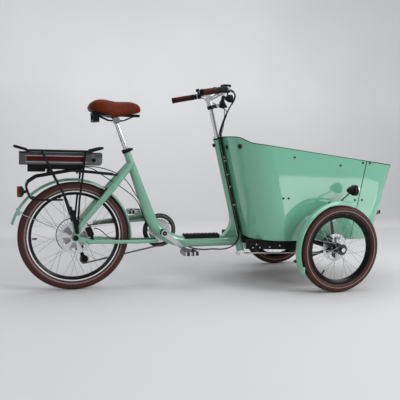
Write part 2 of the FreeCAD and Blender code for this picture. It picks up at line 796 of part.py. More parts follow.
def make_frame():
    tubes, nose = main_tube()
    mast = rod(MAST_BASE, STEER_AXIS, MAST_D, MAST_LENGTH)
    shell = rod(BB - Y * (BB_SHELL_WIDTH / 2), Y, BB_SHELL_D, BB_SHELL_WIDTH)
    rear = []
    for side in SIDES.values():
        rear += [seat_stay(side), chain_stay(side), dropout(side)]
    whole = join(tubes + [gusset(nose), mast, shell, stay_bridge()] + rear)
    mast_foot = MAST_BASE - STEER_AXIS * OVERRUN
    whole = whole.cut(rod(mast_foot, STEER_AXIS, MAST_BORE_D, MAST_LENGTH + OVERRUN * 2))
    whole = whole.cut(rod(BB - Y * BB_SHELL_WIDTH, Y, BB_BORE_D, BB_SHELL_WIDTH * 2))
    mouth = SEAT_TOP + SEAT_AXIS * OVERRUN
    socket = rod(mouth, -SEAT_AXIS, POST_D + RUN_GAP * 2, POST_SOCKET_DEPTH + OVERRUN)
    parts["frame"] = whole.cut(socket)
    top = BEAM_Z + BEAM_D / 2
    low = V(PAD_START_X, -PAD_WIDTH / 2, top - PAD_HEIGHT)
    pad = block(low, low + V(PAD_LENGTH, PAD_WIDTH, PAD_HEIGHT * 2))
    pad = pad.cut(rod(V(PAD_START_X - OVERRUN, 0, BEAM_Z), X, BEAM_D + SEAT_GAP, PAD_LENGTH + OVERRUN * 2))
    for i in range(PAD_RIBS):
        x = PAD_START_X + PAD_LENGTH * (i + 0.5) / PAD_RIBS
        groove = block(V(x, -PAD_WIDTH, top + PAD_HEIGHT - PAD_RIB_T),
                       V(x + PAD_RIB_LENGTH, PAD_WIDTH, top + PAD_HEIGHT + OVERRUN))
        pad = pad.cut(groove)
    parts["step_pad"] = pad.cut(parts["frame"])
    parts["bearing_cups"] = bearing_cups()


def bearing_cups():
    outer = MAST_BORE_D - PRESS_GAP * 2
    inner = STEER_POST_D + RUN_GAP * 2
    upper = join([ring(MAST_TOP - STEER_AXIS * HEAD_CUP_T, STEER_AXIS, outer, inner, HEAD_CUP_T),
                  ring(MAST_TOP, STEER_AXIS, HEAD_CUP_LIP_D, inner, HEAD_CUP_LIP)])
    lower = ring(MAST_BASE, STEER_AXIS, outer, inner, HEAD_CUP_T)
    bb_outer = BB_BORE_D - PRESS_GAP * 2
    bb_inner = SPINDLE_D + RUN_GAP * 2
    half = BB_SHELL_WIDTH / 2
    cups = [ring(BB - Y * half, Y, bb_outer, bb_inner, BB_CUP_T),
            ring(BB + Y * (half - BB_CUP_T), Y, bb_outer, bb_inner, BB_CUP_T)]
    return Part.makeCompound([upper, lower] + cups)


# Seatpost, clamp and saddle

def make_seat():
    post_top = SEAT_TOP + SEAT_AXIS * ((POST_TOP_Z - SEAT_TOP_Z) / SEAT_AXIS.z)
    post = rod_between(SEAT_TOP - SEAT_AXIS * POST_INSERT, post_top, POST_D)
    head = rod(post_top - Y * (SEAT_HEAD_WIDTH / 2), Y, SEAT_HEAD_D, SEAT_HEAD_WIDTH)
    rails = []
    rail_z = POST_TOP_Z
    base_top = SADDLE_TOP_Z - SADDLE_HEIGHT
    for side in (-1, 1):
        y = side * RAIL_SPACING / 2
        run = [V(SADDLE_BACK_X + BUMPER_D, y, base_top - SADDLE_BASE_T / 2),
               V(post_top.x - SEAT_HEAD_D, y, rail_z), V(post_top.x + SEAT_HEAD_D, y, rail_z),
               V(SADDLE_BACK_X + SADDLE_LENGTH - BUMPER_D, y, base_top - SADDLE_BASE_T / 2)]
        rails.append(bent_tube(run, RAIL_D, RAIL_BEND))
    rail_bores = [rod(V(post_top.x - SEAT_HEAD_D, side * RAIL_SPACING / 2, rail_z), X,
                      RAIL_D + PRESS_GAP * 2, SEAT_HEAD_D * 2) for side in (-1, 1)]
    head = head.cut(Part.makeCompound(rail_bores))
    parts["seatpost"] = join([post, head.cut(Part.makeCompound(rail_bores))])
    parts["saddle"] = saddle()
    plate = saddle_plate(base_top - SADDLE_BASE_T)
    bumpers = [rod(V(SADDLE_BACK_X + BUMPER_D, side * BUMPER_SPACING / 2, base_top - SADDLE_BASE_T), -Z,
                   BUMPER_D, BUMPER_HEIGHT) for side in (-1, 1)]
    yoke_z = base_top - SADDLE_BASE_T - BUMPER_HEIGHT
    yoke = block(V(SADDLE_BACK_X + BUMPER_D / 2, -BUMPER_SPACING / 2, yoke_z),
                 V(SADDLE_BACK_X + BUMPER_D * 1.5, BUMPER_SPACING / 2, yoke_z + BUMPER_HEIGHT / 3))
    parts["saddle_base"] = join([plate, yoke] + bumpers + rails)
    make_seat_clamp()


def saddle():
    """Wide dipped cushion, lofted through sections of lines and arcs with drawn-in lower sides."""
    base = SADDLE_TOP_Z - SADDLE_HEIGHT
    sections = []
    for along, wide, low_share, top_share in SADDLE_SHARES:
        x = SADDLE_BACK_X + SADDLE_LENGTH * along
        half = SADDLE_WIDTH / 2 * wide
        low = base + SADDLE_HEIGHT * low_share * 0.5
        top = base + SADDLE_HEIGHT * top_share
        waist = low + (top - low) * 0.55
        tuck = half * 0.86
        left = V(x, -half, waist)
        right = V(x, half, waist)
        edges = [
            Part.LineSegment(V(x, -tuck, low), V(x, tuck, low)).toShape(),
            Part.Arc(V(x, tuck, low), V(x, half * 0.97, low + (waist - low) * 0.5), right).toShape(),
            Part.Arc(right, V(x, 0, top), left).toShape(),
            Part.Arc(left, V(x, -half * 0.97, low + (waist - low) * 0.5), V(x, -tuck, low)).toShape()]
        sections.append(Part.Wire(edges))
    return Part.makeLoft(sections, True, False)


def saddle_plate(low):
    """Moulded base plate that follows the cushion's outline a little inside it."""
    left = []
    right = []
    for along, wide, _, _ in SADDLE_SHARES:
        x = SADDLE_BACK_X + SADDLE_BASE_INSET + (SADDLE_LENGTH - SADDLE_BASE_INSET * 2) * along
        half = max(SADDLE_WIDTH / 2 * wide * 0.86 - SADDLE_BASE_INSET, RAIL_SPACING / 2 + RAIL_D)
        left.append(V(x, -half, low))
        right.append(V(x, half, low))
    plate = outline(left + right[::-1]).extrude(Z * (SADDLE_BASE_T - SEAT_GAP))
    return plate


def make_seat_clamp():
    """Collar round the seat tube's top with a front lug, and the forked quick lever on the lug's pin."""
    low = SEAT_TOP - SEAT_AXIS * (CLAMP_HEIGHT * 0.9)
    cone_d = SEAT_TOP_D + CLAMP_HEIGHT * (BEAM_D - SEAT_TOP_D) / taper_length()
    collar = ring(low, SEAT_AXIS, CLAMP_D, cone_d + PRESS_GAP * 2, CLAMP_HEIGHT)
    across = SEAT_AXIS.cross(Y)
    lug_at = SEAT_TOP - SEAT_AXIS * (CLAMP_HEIGHT * 0.4) - across * (CLAMP_D / 2 + CLAMP_LUG * 0.3)
    lug = rod(lug_at - Y * CLAMP_LUG_T, Y, CLAMP_LUG, CLAMP_LUG_T * 2)
    pin_at = lever_pivot()
    stalk = rod(V(lug_at.x, pin_at.y - CLAMP_PIN_D, lug_at.z), Y, CLAMP_PIN_D, lug_at.y - pin_at.y)
    pin = rod(pin_at - SEAT_AXIS * (LEVER_WIDTH / 2), SEAT_AXIS, CLAMP_PIN_D, LEVER_WIDTH)
    seat_bore = rod(low - SEAT_AXIS * OVERRUN, SEAT_AXIS, cone_d + PRESS_GAP * 2, CLAMP_HEIGHT * 2)
    parts["seat_clamp"] = join([collar, lug.cut(seat_bore), stalk, pin])
    eye = rod(pin_at - SEAT_AXIS * (LEVER_WIDTH / 2), SEAT_AXIS, LEVER_WIDTH, LEVER_WIDTH)
    blade_low = pin_at - SEAT_AXIS * (LEVER_WIDTH / 2) - Y * (LEVER_T / 2)
    corners = [blade_low, blade_low + across * LEVER_LENGTH,
               blade_low + across * LEVER_LENGTH + Y * (LEVER_T * 0.7), blade_low + Y * LEVER_T]
    blade = outline(corners).extrude(SEAT_AXIS * LEVER_WIDTH)
    lever = join([eye, blade])
    eye_bore = rod(pin_at - SEAT_AXIS * LEVER_WIDTH, SEAT_AXIS, CLAMP_PIN_D + RUN_GAP * 2, LEVER_WIDTH * 2)
    lever = lever.cut(eye_bore)
    fork = CLAMP_PIN_D + PAD_GAP
    slot = rod(pin_at - SEAT_AXIS * (fork / 2), SEAT_AXIS, LEVER_WIDTH + PAD_GAP * 2, fork)
    parts["seat_lever"] = lever.cut(slot)


def lever_pivot():
    across = SEAT_AXIS.cross(Y)
    lug_at = SEAT_TOP - SEAT_AXIS * (CLAMP_HEIGHT * 0.4) - across * (CLAMP_D / 2 + CLAMP_LUG * 0.3)
    return V(lug_at.x, -CLAMP_D / 2 - LEVER_T, lug_at.z)


# Fenders

def fender(centre, inner_radius, width, crown, start, end):
    """Thin crowned band, revolved round the wheel from one angle to another."""
    half = width / 2

    def at(radius, y):
        return centre + V(radius, y, 0)
    low = inner_radius - crown
    edges = [
        Part.Arc(at(low, -half), at(inner_radius, 0), at(low, half)).toShape(),
        Part.LineSegment(at(low, half), at(low + FENDER_T, half)).toShape(),
        Part.Arc(at(low + FENDER_T, half), at(inner_radius + FENDER_T, 0),
                 at(low + FENDER_T, -half)).toShape(),
        Part.LineSegment(at(low + FENDER_T, -half), at(low, -half)).toShape()]
    band = Part.Face(Part.Wire(edges)).revolve(centre, Y, -(end - start))
    band.rotate(centre, Y, -start)
    return band


def make_rear_fender():
    parts["rear_fender"] = fender(
        FENDER_CENTRE, FENDER_RADIUS, FENDER_WIDTH, FENDER_CROWN, REAR_FENDER_FROM, REAR_FENDER_TO)
    stays = []
    for side in SIDES.values():
        edge = side * (FENDER_WIDTH / 2 + FENDER_STAY_D / 2 + SEAT_GAP)
        eye_y = side * (DROPOUT_SPACING / 2 + DROPOUT_T + FENDER_STAY_D / 2 + SEAT_GAP)
        foot = polar(REAR_CENTRE, DROPOUT_EYE_D * 0.4 + AXLE_NUT_D * 0.2, FENDER_STAY_ANGLE, eye_y)
        knee = polar(REAR_CENTRE, DROPOUT_EYE_D * 2, FENDER_STAY_ANGLE, eye_y)
        tip = polar(FENDER_CENTRE, FENDER_RADIUS - FENDER_CROWN + FENDER_T, FENDER_STAY_ANGLE, edge)
        stays.append(bent_tube([foot, knee, tip], FENDER_STAY_D, DROPOUT_EYE_D))
    parts["fender_stays"] = Part.makeCompound(stays)


# Rack, battery and tail light

def rack_loop(side):
    span_x = RACK_LOOP_FRONT_X - loop_rear_x()
    span_z = RACK_TOP_Z - RACK_LOOP_LOW_Z
    points = [V(loop_rear_x() + span_x * ax, side * RACK_HALF_WIDTH, RACK_LOOP_LOW_Z + span_z * az)
              for ax, az in RACK_LOOP_SHARES]
    return points


def loop_rear_x():
    return RACK_REAR_X + (BATTERY_REAR_X - RACK_REAR_X) * 2


def rack_leg(side, share):
    top = V(RACK_REAR_X + (RACK_FRONT_X - RACK_REAR_X) * share, side * RACK_HALF_WIDTH, RACK_TOP_Z)
    foot = V(RACK_LEG_FOOT_X, side * RACK_LEG_Y, RACK_LEG_FOOT_Z)
    knee = V(top.x * 0.3 + foot.x * 0.7, side * RACK_HALF_WIDTH, RACK_LOOP_LOW_Z)
    return bent_tube([top, knee, foot], RACK_TUBE_D, RACK_LEG_BEND)


def foot_plate(side):
    """Flat plate between the lower ends of the two legs on one side."""
    low_y = side * RACK_LEG_Y - FOOT_PLATE_T / 2
    low = V(RACK_LEG_FOOT_X, low_y, RACK_LEG_FOOT_Z)
    high = V(RACK_LEG_FOOT_X - FOOT_PLATE_WIDTH, low_y, RACK_LEG_FOOT_Z + FOOT_PLATE_WIDTH * 5)
    return slot_plate(low, high, FOOT_PLATE_WIDTH, low_y, FOOT_PLATE_T)


def make_rack():
    rail_z = RACK_TOP_Z
    rail_rear = RACK_REAR_X + WING_RUN
    rail_front = RACK_FRONT_X - WING_RUN
    tubes = []
    for side in SIDES.values():
        y = side * RACK_HALF_WIDTH
        tubes.append(rod(V(rail_rear, y, rail_z), X, RACK_TUBE_D, rail_front - rail_rear))
        tubes.append(bent_tube(rack_loop(side), RACK_TUBE_D, RACK_LOOP_BEND))
        tubes.append(rack_leg(side, RACK_REAR_LEG_SHARE))
        tubes.append(rack_leg(side, RACK_FRONT_LEG_SHARE))
        tubes.append(foot_plate(side))
        foot = DROPOUT_SPACING / 2 + DROPOUT_T
        tubes.append(rod(V(RACK_LEG_FOOT_X, side * (foot + SEAT_GAP), RACK_LEG_FOOT_Z), Y * side,
                         RACK_TUBE_D * 1.4, RACK_LEG_Y - foot))
    cross = RACK_HALF_WIDTH * 2
    tail = rack_loop(-1)[3]
    for x in (rail_rear, rail_front):
        tubes.append(rod(V(x, -RACK_HALF_WIDTH, rail_z), Y, RACK_TUBE_D, cross))
    tubes.append(rod(V(tail.x + RACK_TUBE_D, -RACK_HALF_WIDTH, tail.z), Y, RACK_TUBE_D, cross))
    for x in dock_bar_x():
        tubes.append(rod(V(x, -RACK_HALF_WIDTH, dock_bar_z()), Y, RACK_TUBE_D, cross))
    for x in dock_bar_x():
        for side in SIDES.values():
            tubes.append(rod(V(x, side * RACK_HALF_WIDTH, dock_bar_z()), -Z, RACK_TUBE_D, RACK_TUBE_D * 2))
    plate = block(V(rail_rear, -RACK_PLATE_WIDTH / 2, rail_z),
                  V(rail_front, RACK_PLATE_WIDTH / 2, rail_z + RACK_PLATE_T))
    pitch = RACK_PLATE_WIDTH / RACK_SLOTS
    for i in range(RACK_SLOTS):
        y = -RACK_PLATE_WIDTH / 2 + pitch * (i + 0.5)
        slot = block(V(rail_rear + RACK_SLOT_WIDTH, y - RACK_SLOT_WIDTH / 2, rail_z - OVERRUN),
                     V(rail_front - RACK_SLOT_WIDTH, y + RACK_SLOT_WIDTH / 2, rail_z + OVERRUN))
        plate = plate.cut(slot)
    wings = [rack_wing(rail_rear, RACK_REAR_X), rack_wing(rail_front, RACK_FRONT_X)]
    parts["rack"] = join(tubes + [plate] + wings)
    make_battery()
    make_tail_light(tail)


def rack_wing(from_x, to_x):
    """Upturned end of the rack's top, round at its two outer corners."""
    low = V(from_x, -WING_WIDTH / 2, RACK_TOP_Z - WING_T / 2)
    tip = V(to_x, low.y, low.z + WING_RISE)
    wing = outline([low, tip, tip + Z * WING_T, low + Z * WING_T]).extrude(Y * WING_WIDTH)
    ends = [e for e in wing.Edges if e.BoundBox.XLength + e.BoundBox.YLength < SEAT_GAP
            and abs(e.CenterOfMass.x - to_x) < SEAT_GAP]
    return wing.makeFillet(WING_ROUND, ends)


def dock_bar_x():
    return [RACK_REAR_X + (RACK_FRONT_X - RACK_REAR_X) * share for share in DOCK_BAR_SHARES]


def battery_top_z():
    return RACK_TOP_Z - RACK_TUBE_D / 2 - SEAT_GAP * 2


def dock_bar_z():
    return battery_top_z() - BATTERY_HEIGHT - DOCK_HEIGHT - SEAT_GAP * 2 - RACK_TUBE_D / 2


def make_battery():
    """Battery case with rounded long edges and a rounder front end, sliding on its dock."""
    top = battery_top_z()
    half = BATTERY_WIDTH / 2
    low = top - BATTERY_HEIGHT
    case = block(V(BATTERY_REAR_X, -half, low), V(BATTERY_REAR_X + BATTERY_LENGTH, half, top))
    long_edges = [e for e in case.Edges if e.BoundBox.XLength > BATTERY_LENGTH / 2]
    case = case.makeFillet(BATTERY_ROUND, long_edges)
    front = BATTERY_REAR_X + BATTERY_LENGTH
    corner = block(V(front - BATTERY_END_ROUND, -half - OVERRUN, low - OVERRUN),
                   V(front + OVERRUN, half + OVERRUN, low + BATTERY_END_ROUND))
    corner = corner.cut(rod(V(front - BATTERY_END_ROUND, -half - OVERRUN * 2, low + BATTERY_END_ROUND), Y,
                            BATTERY_END_ROUND * 2, BATTERY_WIDTH + OVERRUN * 4))
    groove_z = low + BATTERY_HEIGHT * 0.45
    groove_low = V(BATTERY_REAR_X + BATTERY_END_ROUND, half - PAD_GAP, groove_z)
    groove_size = V(BATTERY_LENGTH - BATTERY_END_ROUND * 3, OVERRUN, BATTERY_HEIGHT * 0.2)
    groove = block(groove_low, groove_low + groove_size)
    case = case.cut(Part.makeCompound([corner, groove, mirror_y(groove)]))
    parts["battery"] = case
    dock_top = low - SEAT_GAP
    inset = half - DOCK_INSET
    dock_x = BATTERY_REAR_X + DOCK_SETBACK
    dock = block(V(dock_x, -inset, dock_top - DOCK_HEIGHT), V(dock_x + DOCK_LENGTH, inset, dock_top))
    rail = block(V(dock_x - OVERRUN, -inset + DOCK_INSET, dock_top - DOCK_HEIGHT * 0.5),
                 V(dock_x + DOCK_LENGTH + OVERRUN, inset - DOCK_INSET, dock_top + OVERRUN))
    half = CONTROLLER_WIDTH / 2
    controller = block(V(dock_x + DOCK_INSET - CONTROLLER_LENGTH, -half, dock_top - CONTROLLER_HEIGHT),
                       V(dock_x + DOCK_INSET, half, dock_top))
    upright = [e for e in controller.Edges if e.BoundBox.ZLength > OVERRUN]
    controller = controller.makeFillet(CONTROL_ROUND, upright)
    parts["battery_dock"] = join([dock.cut(rail), controller])


def make_tail_light(tail):
    """Round lamp on a bent strap from the rack's rear cross tube."""
    centre = V(tail.x - TAIL_LIGHT_DEPTH / 2, 0, TAIL_LIGHT_Z)
    housing = rod(centre, -X, TAIL_LIGHT_D, TAIL_LIGHT_DEPTH - TAIL_LENS_DEPTH)
    back = Part.makeCone(TAIL_LIGHT_D / 2, TAIL_LIGHT_D / 4, TAIL_LENS_DEPTH, centre, X)
    strap_top = tail.z - RACK_TUBE_D / 2 - SEAT_GAP
    strap = block(V(tail.x + RACK_TUBE_D / 2, -TAIL_LIGHT_D / 6, TAIL_LIGHT_Z - TAIL_ARM_T * 2),
                  V(tail.x + RACK_TUBE_D / 2 + TAIL_ARM_T, TAIL_LIGHT_D / 6, strap_top))
    stub = block(V(centre.x, -TAIL_LIGHT_D / 6, TAIL_LIGHT_Z - TAIL_ARM_T * 2),
                 V(tail.x + RACK_TUBE_D / 2 + TAIL_ARM_T, TAIL_LIGHT_D / 6, TAIL_LIGHT_Z + TAIL_ARM_T * 2))
    lens = rod(centre - X * (TAIL_LIGHT_DEPTH - TAIL_LENS_DEPTH), -X, TAIL_LIGHT_D, TAIL_LENS_DEPTH)
    lens = lens.makeFillet(TAIL_LENS_DEPTH * 0.6, [lens.Edges[0]])
    parts["tail_light"] = Part.makeCompound([join([housing, back, strap, stub]), lens])


# Drive

def cog_y(index):
    return CHAINLINE + (index - ENGAGED_COG) * COG_PITCH_Y


def pulley_centres():
    return V(GUIDE_PULLEY_X, 0, GUIDE_PULLEY_Z), V(TENSION_PULLEY_X, 0, TENSION_PULLEY_Z)


def chain_circles():
    """Centres and signed pitch radii in running order; positive ones turn with the wheel."""
    guide, tension = pulley_centres()
    return [(BB, sprocket_radius(RING_TEETH)), (REAR_CENTRE, sprocket_radius(COG_TEETH[ENGAGED_COG])),
            (guide, -sprocket_radius(PULLEY_TEETH)), (tension, sprocket_radius(PULLEY_TEETH))]


def chain_tangents(offset):
    """Start and end of each straight run of the chain line, set outwards by an offset."""
    circles = chain_circles()
    runs = []
    for (a, ra), (b, rb) in zip(circles, circles[1:] + circles[:1]):
        ra += offset
        rb += offset
        gap = b - a
        distance = math.hypot(gap.x, gap.z)
        heading = math.atan2(gap.z, gap.x) - math.asin((rb - ra) / distance)
        left = V(-math.sin(heading), 0, math.cos(heading))
        runs.append((V(a.x, 0, a.z) - left * ra, V(b.x, 0, b.z) - left * rb))
    return runs


def chain_wire(offset, y):
    runs = chain_tangents(offset)
    circles = chain_circles()
    edges = []
    for i, (start, end) in enumerate(runs):
        edges.append(Part.LineSegment(start, end).toShape())
        centre, radius = circles[(i + 1) % len(circles)]
        leave = runs[(i + 1) % len(runs)][0]
        flat = V(centre.x, 0, centre.z)
        begin = math.atan2((end - flat).z, (end - flat).x)
        finish = math.atan2((leave - flat).z, (leave - flat).x)
        turn = (finish - begin) % (2 * math.pi) if radius > 0 else -((begin - finish) % (2 * math.pi))
        middle = begin + turn / 2
        on_arc = flat + V(math.cos(middle), 0, math.sin(middle)) * abs(radius + offset)
        edges.append(Part.Arc(end, on_arc, leave).toShape())
    wire = Part.Wire(edges)
    wire.translate(V(0, y, 0))
    return wire


def make_chain():
    """Two rows of link plates round the sprockets, with rollers along the free runs."""
    half = CHAIN_INNER_WIDTH / 2
    solids = []
    for low in (CHAINLINE - half - CHAIN_PLATE_T, CHAINLINE + half):
        outer = Part.Face(chain_wire(CHAIN_PLATE_H / 2, low)).extrude(Y * CHAIN_PLATE_T)
        inner = Part.Face(chain_wire(-CHAIN_PLATE_H / 2, low)).extrude(Y * CHAIN_PLATE_T)
        solids += outer.cut(inner).Solids
    margins = [tooth_margin(abs(radius)) for _, radius in chain_circles()]
    for i, (start, end) in enumerate(chain_tangents(0)):
        span = end - start
        free = span.Length - margins[i] - margins[(i + 1) % len(margins)]
        for step in range(int(free / CHAIN_PITCH) + 1):
            at = start + span * ((margins[i] + CHAIN_PITCH * step) / span.Length) + Y * (CHAINLINE - half)
            solids.append(roller(at))
    parts["chain"] = Part.makeCompound(solids)


def tooth_margin(radius):
    """Distance along a run at which the rollers are clear of the teeth they have left."""
    clear = radius + TOOTH_HEIGHT / 2 + ROLLER_D / 2 + PAD_GAP
    return math.sqrt(clear ** 2 - radius ** 2)


def roller(low):
    corners = [polar(low, ROLLER_D / 2, 360 * i / ROLLER_SIDES, low.y) for i in range(ROLLER_SIDES)]
    return outline(corners).extrude(Y * CHAIN_INNER_WIDTH)


def make_freewheel():
    bore = (REAR_AXLE_D / 2 + RUN_GAP + CAGE_PIN_D + RUN_GAP) * 2
    solids = []
    for i, teeth in enumerate(COG_TEETH):
        low = cog_y(i) - COG_T / 2
        solids.append(toothed_disc(REAR_CENTRE, teeth, low, COG_T, bore))
    first = cog_y(0) - COG_T / 2
    last = cog_y(len(COG_TEETH) - 1) + COG_T / 2
    core_d = (sprocket_radius(COG_TEETH[-1]) - TOOTH_HEIGHT * 2) * 2
    core = ring(REAR_CENTRE + Y * first, Y, core_d, bore, last - first)
    parts["freewheel"] = join(solids + [core])


def make_derailleur():
    """Hanger knuckle, parallelogram body and the two cage plates with the pulley pins."""
    guide, tension = pulley_centres()
    half = CAGE_GAP / 2
    plates = [slot_plate(guide, tension, CAGE_D, CHAINLINE + half, CAGE_T),
              slot_plate(guide, tension, CAGE_D * 0.8, CHAINLINE - half - CAGE_T, CAGE_T)]
    pins = [rod(V(p.x, CHAINLINE - half - CAGE_T, p.z), Y, CAGE_PIN_D, CAGE_GAP + CAGE_T * 2)
            for p in (guide, tension)]
    bolt_y = DROPOUT_SPACING / 2 + DROPOUT_T
    hanger = V(HANGER_BOLT_D, bolt_y + SEAT_GAP, REAR_R - HANGER_DROP)
    knuckle = rod(hanger, Y, DERAILLEUR_BODY_D, DERAILLEUR_BODY_D * 0.7)
    arm_y = hanger.y + CAGE_T
    arm = slot_plate(V(hanger.x, arm_y, hanger.z), V(guide.x, arm_y, guide.z), DERAILLEUR_BODY_D * 0.8,
                     arm_y, DERAILLEUR_BODY_D * 0.5)
    lower = rod(V(guide.x, CHAINLINE + half, guide.z), Y, DERAILLEUR_BODY_D * 0.8, arm_y - CHAINLINE)
    parts["derailleur"] = join(plates + pins + [knuckle, arm, lower])
    for name, centre in (("guide_pulley", guide), ("tension_pulley", tension)):
        bore = CAGE_PIN_D + RUN_GAP * 2
        wheel = toothed_disc(centre, PULLEY_TEETH, CHAINLINE - PULLEY_T / 2, PULLEY_T, bore)
        hub_low = V(centre.x, CHAINLINE - half + PAD_GAP, centre.z)
        hub = ring(hub_low, Y, PULLEY_HUB_D, bore, CAGE_GAP - PAD_GAP * 2)
        parts[name] = join([wheel, hub])


def crank_end(side):
    turn = CRANK_ANGLE if side < 0 else CRANK_ANGLE + 180
    return polar(BB, CRANK_LENGTH, turn, side * CRANK_Y)


def make_crankset():
    """Square-shouldered spindle and tapered arms with pedal pins, one solid as pressed together."""
    solids = [rod(BB - Y * CRANK_Y, Y, SPINDLE_D, CRANK_Y * 2)]
    for side in SIDES.values():
        low = CRANK_Y if side > 0 else -CRANK_Y - CRANK_T
        end = crank_end(side)
        hub = V(BB.x, low, BB.z)
        tip = V(end.x, low, end.z)
        solids += [rod(hub, Y, CRANK_HUB_D, CRANK_T), rod(tip, Y, CRANK_EYE_D, CRANK_T), taper_arm(hub, tip)]
        solids.append(rod(V(end.x, side * (CRANK_Y + CRANK_T), end.z), Y * side, PEDAL_PIN_D,
                          PEDAL_LENGTH + PEDAL_SIDE_GAP))
        parts["pedal_near" if side < 0 else "pedal_far"] = pedal(end, side)
    parts["crankset"] = join(solids)


def taper_arm(hub, tip):
    along = (tip - hub).normalize()
    side = along.cross(Y)
    wide = CRANK_HUB_D * 0.42
    slim = CRANK_NECK_D / 2
    corners = [hub + side * wide, tip + side * slim, tip - side * slim, hub - side * wide]
    return outline(corners).extrude(Y * CRANK_T)


def pedal(end, side):
    """Open platform pedal: a core tube round the pin, end plates and two side bars."""
    inner = side * (CRANK_Y + CRANK_T + PEDAL_SIDE_GAP)
    start = V(end.x, inner, end.z)
    axis = Y * side
    core = rod(start, axis, PEDAL_CORE_D, PEDAL_LENGTH)
    low_y = min(inner, inner + side * PEDAL_LENGTH)
    half_w = PEDAL_WIDTH / 2
    half_h = PEDAL_HEIGHT / 2
    frame = block(V(end.x - half_w, low_y, end.z - half_h),
                  V(end.x + half_w, low_y + PEDAL_LENGTH, end.z + half_h))
    inside = half_w - PEDAL_WALL
    window = block(V(end.x - inside, low_y + PEDAL_WALL, end.z - half_h - OVERRUN),
                   V(end.x + inside, low_y + PEDAL_LENGTH - PEDAL_WALL, end.z + half_h + OVERRUN))
    body = join([frame.cut(window), core])
    return body.cut(rod(start - axis * OVERRUN, axis, PEDAL_PIN_D + RUN_GAP * 2, PEDAL_LENGTH + OVERRUN * 2))


def make_chainring():
    """Toothed ring on a five-arm spider, with the guard disc outboard of it."""
    ring_bore = (sprocket_radius(RING_TEETH) - GUARD_RING_WIDTH * 0.6) * 2
    low = CHAINLINE - RING_T / 2
    gear = toothed_disc(BB, RING_TEETH, low, RING_T, ring_bore)
    guard_low = CHAINLINE + CHAIN_INNER_WIDTH + CHAIN_PLATE_T
    guard_hole = GUARD_DISC_D - GUARD_RING_WIDTH * 2
    guard = ring(V(BB.x, guard_low, BB.z), Y, GUARD_DISC_D, guard_hole, GUARD_DISC_T)
    arms = [ring(V(BB.x, low, BB.z), Y, SPIDER_D, SPINDLE_D + PRESS_GAP * 2, guard_low + GUARD_DISC_T - low)]
    for i in range(SPIDER_ARMS):
        turn = 360 * i / SPIDER_ARMS + CRANK_ANGLE
        inner = polar(BB, SPIDER_D * 0.4, turn, low)
        outer = polar(BB, ring_bore / 2 + OVERRUN, turn, low)
        side = (outer - inner).normalize().cross(Y) * (SPIDER_ARM_WIDTH / 2)
        arm = outline([inner + side, outer + side * 0.7, outer - side * 0.7, inner - side])
        arms.append(arm.extrude(Y * (guard_low + GUARD_DISC_T - low)))
    parts["chainring"] = join([gear, guard] + arms)


def make_chain_guard():
    """Channel over the chain's upper run: a top strip and an outboard skirt that tapers to the rear."""
    start, end = chain_tangents(CHAIN_PLATE_H / 2 + CHAIN_GUARD_RISE)[0]
    rear_share = (start.x - CHAIN_GUARD_REAR_X) / (start.x - end.x)
    rear = start + (end - start) * rear_share
    front = start + (end - start) * (1 - CHAIN_GUARD_FRONT_SHARE)
    inner = CHAINLINE - CHAIN_GUARD_WIDTH / 2
    up = Z * CHAIN_GUARD_T
    strip = outline([V(p.x, inner, p.z) for p in (rear, front, front + up, rear + up)])
    strip = strip.extrude(Y * CHAIN_GUARD_WIDTH)
    skirt_y = CHAINLINE + CHAIN_GUARD_WIDTH / 2 - CHAIN_GUARD_T
    low_rear = rear - Z * (CHAIN_GUARD_SKIRT * 0.5)
    low_front = front - Z * CHAIN_GUARD_SKIRT
    skirt = outline([V(p.x, skirt_y, p.z) for p in (rear + up, front + up, low_front, low_rear)])
    bracket_x = front.x + (rear.x - front.x) * CHAIN_GUARD_BRACKET_SHARE
    bracket_z = front.z + (rear.z - front.z) * CHAIN_GUARD_BRACKET_SHARE
    bracket = block(V(bracket_x - STRUT_WIDTH / 2, inner, CHAIN_STAY_FRONT_Z),
                    V(bracket_x + STRUT_WIDTH / 2, inner + CHAIN_GUARD_T, bracket_z))
    whole = join([strip, skirt.extrude(Y * CHAIN_GUARD_T), bracket])
    parts["chain_guard"] = whole.cut(parts["frame"])


# Cargo box

def box_rear_x(z):
    axis_x = MAST_BASE_X - (z - MAST_BASE_Z) * math.tan(LEAN)
    return axis_x + MAST_D / 2 / math.cos(LEAN) + BOX_REAR_GAP


def box_front_x(z):
    return BOX_FRONT_X + (z - BOX_FLOOR_Z) * math.tan(math.radians(BOX_FRONT_LEAN))


def box_plan(z, inset):
    """Plan outline at a height: large round corners at the rear, smaller ones at the front."""
    rear = box_rear_x(z) + inset
    front = box_front_x(z) - inset
    half = BOX_HALF_WIDTH - inset
    big = BOX_REAR_RADIUS - inset
    small = BOX_FRONT_RADIUS - inset
    bulge = math.sqrt(0.5)

    def corner(x_centre, y_centre, radius, sx, sy):
        start = V(x_centre + sx[0] * radius, y_centre + sy[0] * radius, z)
        end = V(x_centre + sx[1] * radius, y_centre + sy[1] * radius, z)
        reach = radius * bulge
        middle = V(x_centre + (sx[0] + sx[1]) * reach, y_centre + (sy[0] + sy[1]) * reach, z)
        return start, middle, end
    corners = [corner(rear + big, big - half, big, (-1, 0), (0, -1)),
               corner(front - small, small - half, small, (0, 1), (-1, 0)),
               corner(front - small, half - small, small, (1, 0), (0, 1)),
               corner(rear + big, half - big, big, (0, -1), (1, 0))]
    edges = []
    for i, (start, middle, end) in enumerate(corners):
        edges.append(Part.Arc(start, middle, end).toShape())
        edges.append(Part.LineSegment(end, corners[(i + 1) % len(corners)][0]).toShape())
    return Part.Wire(edges)


def box_body(inset, low, high):
    return Part.makeLoft([box_plan(low, inset), box_plan(high, inset)], True, True)


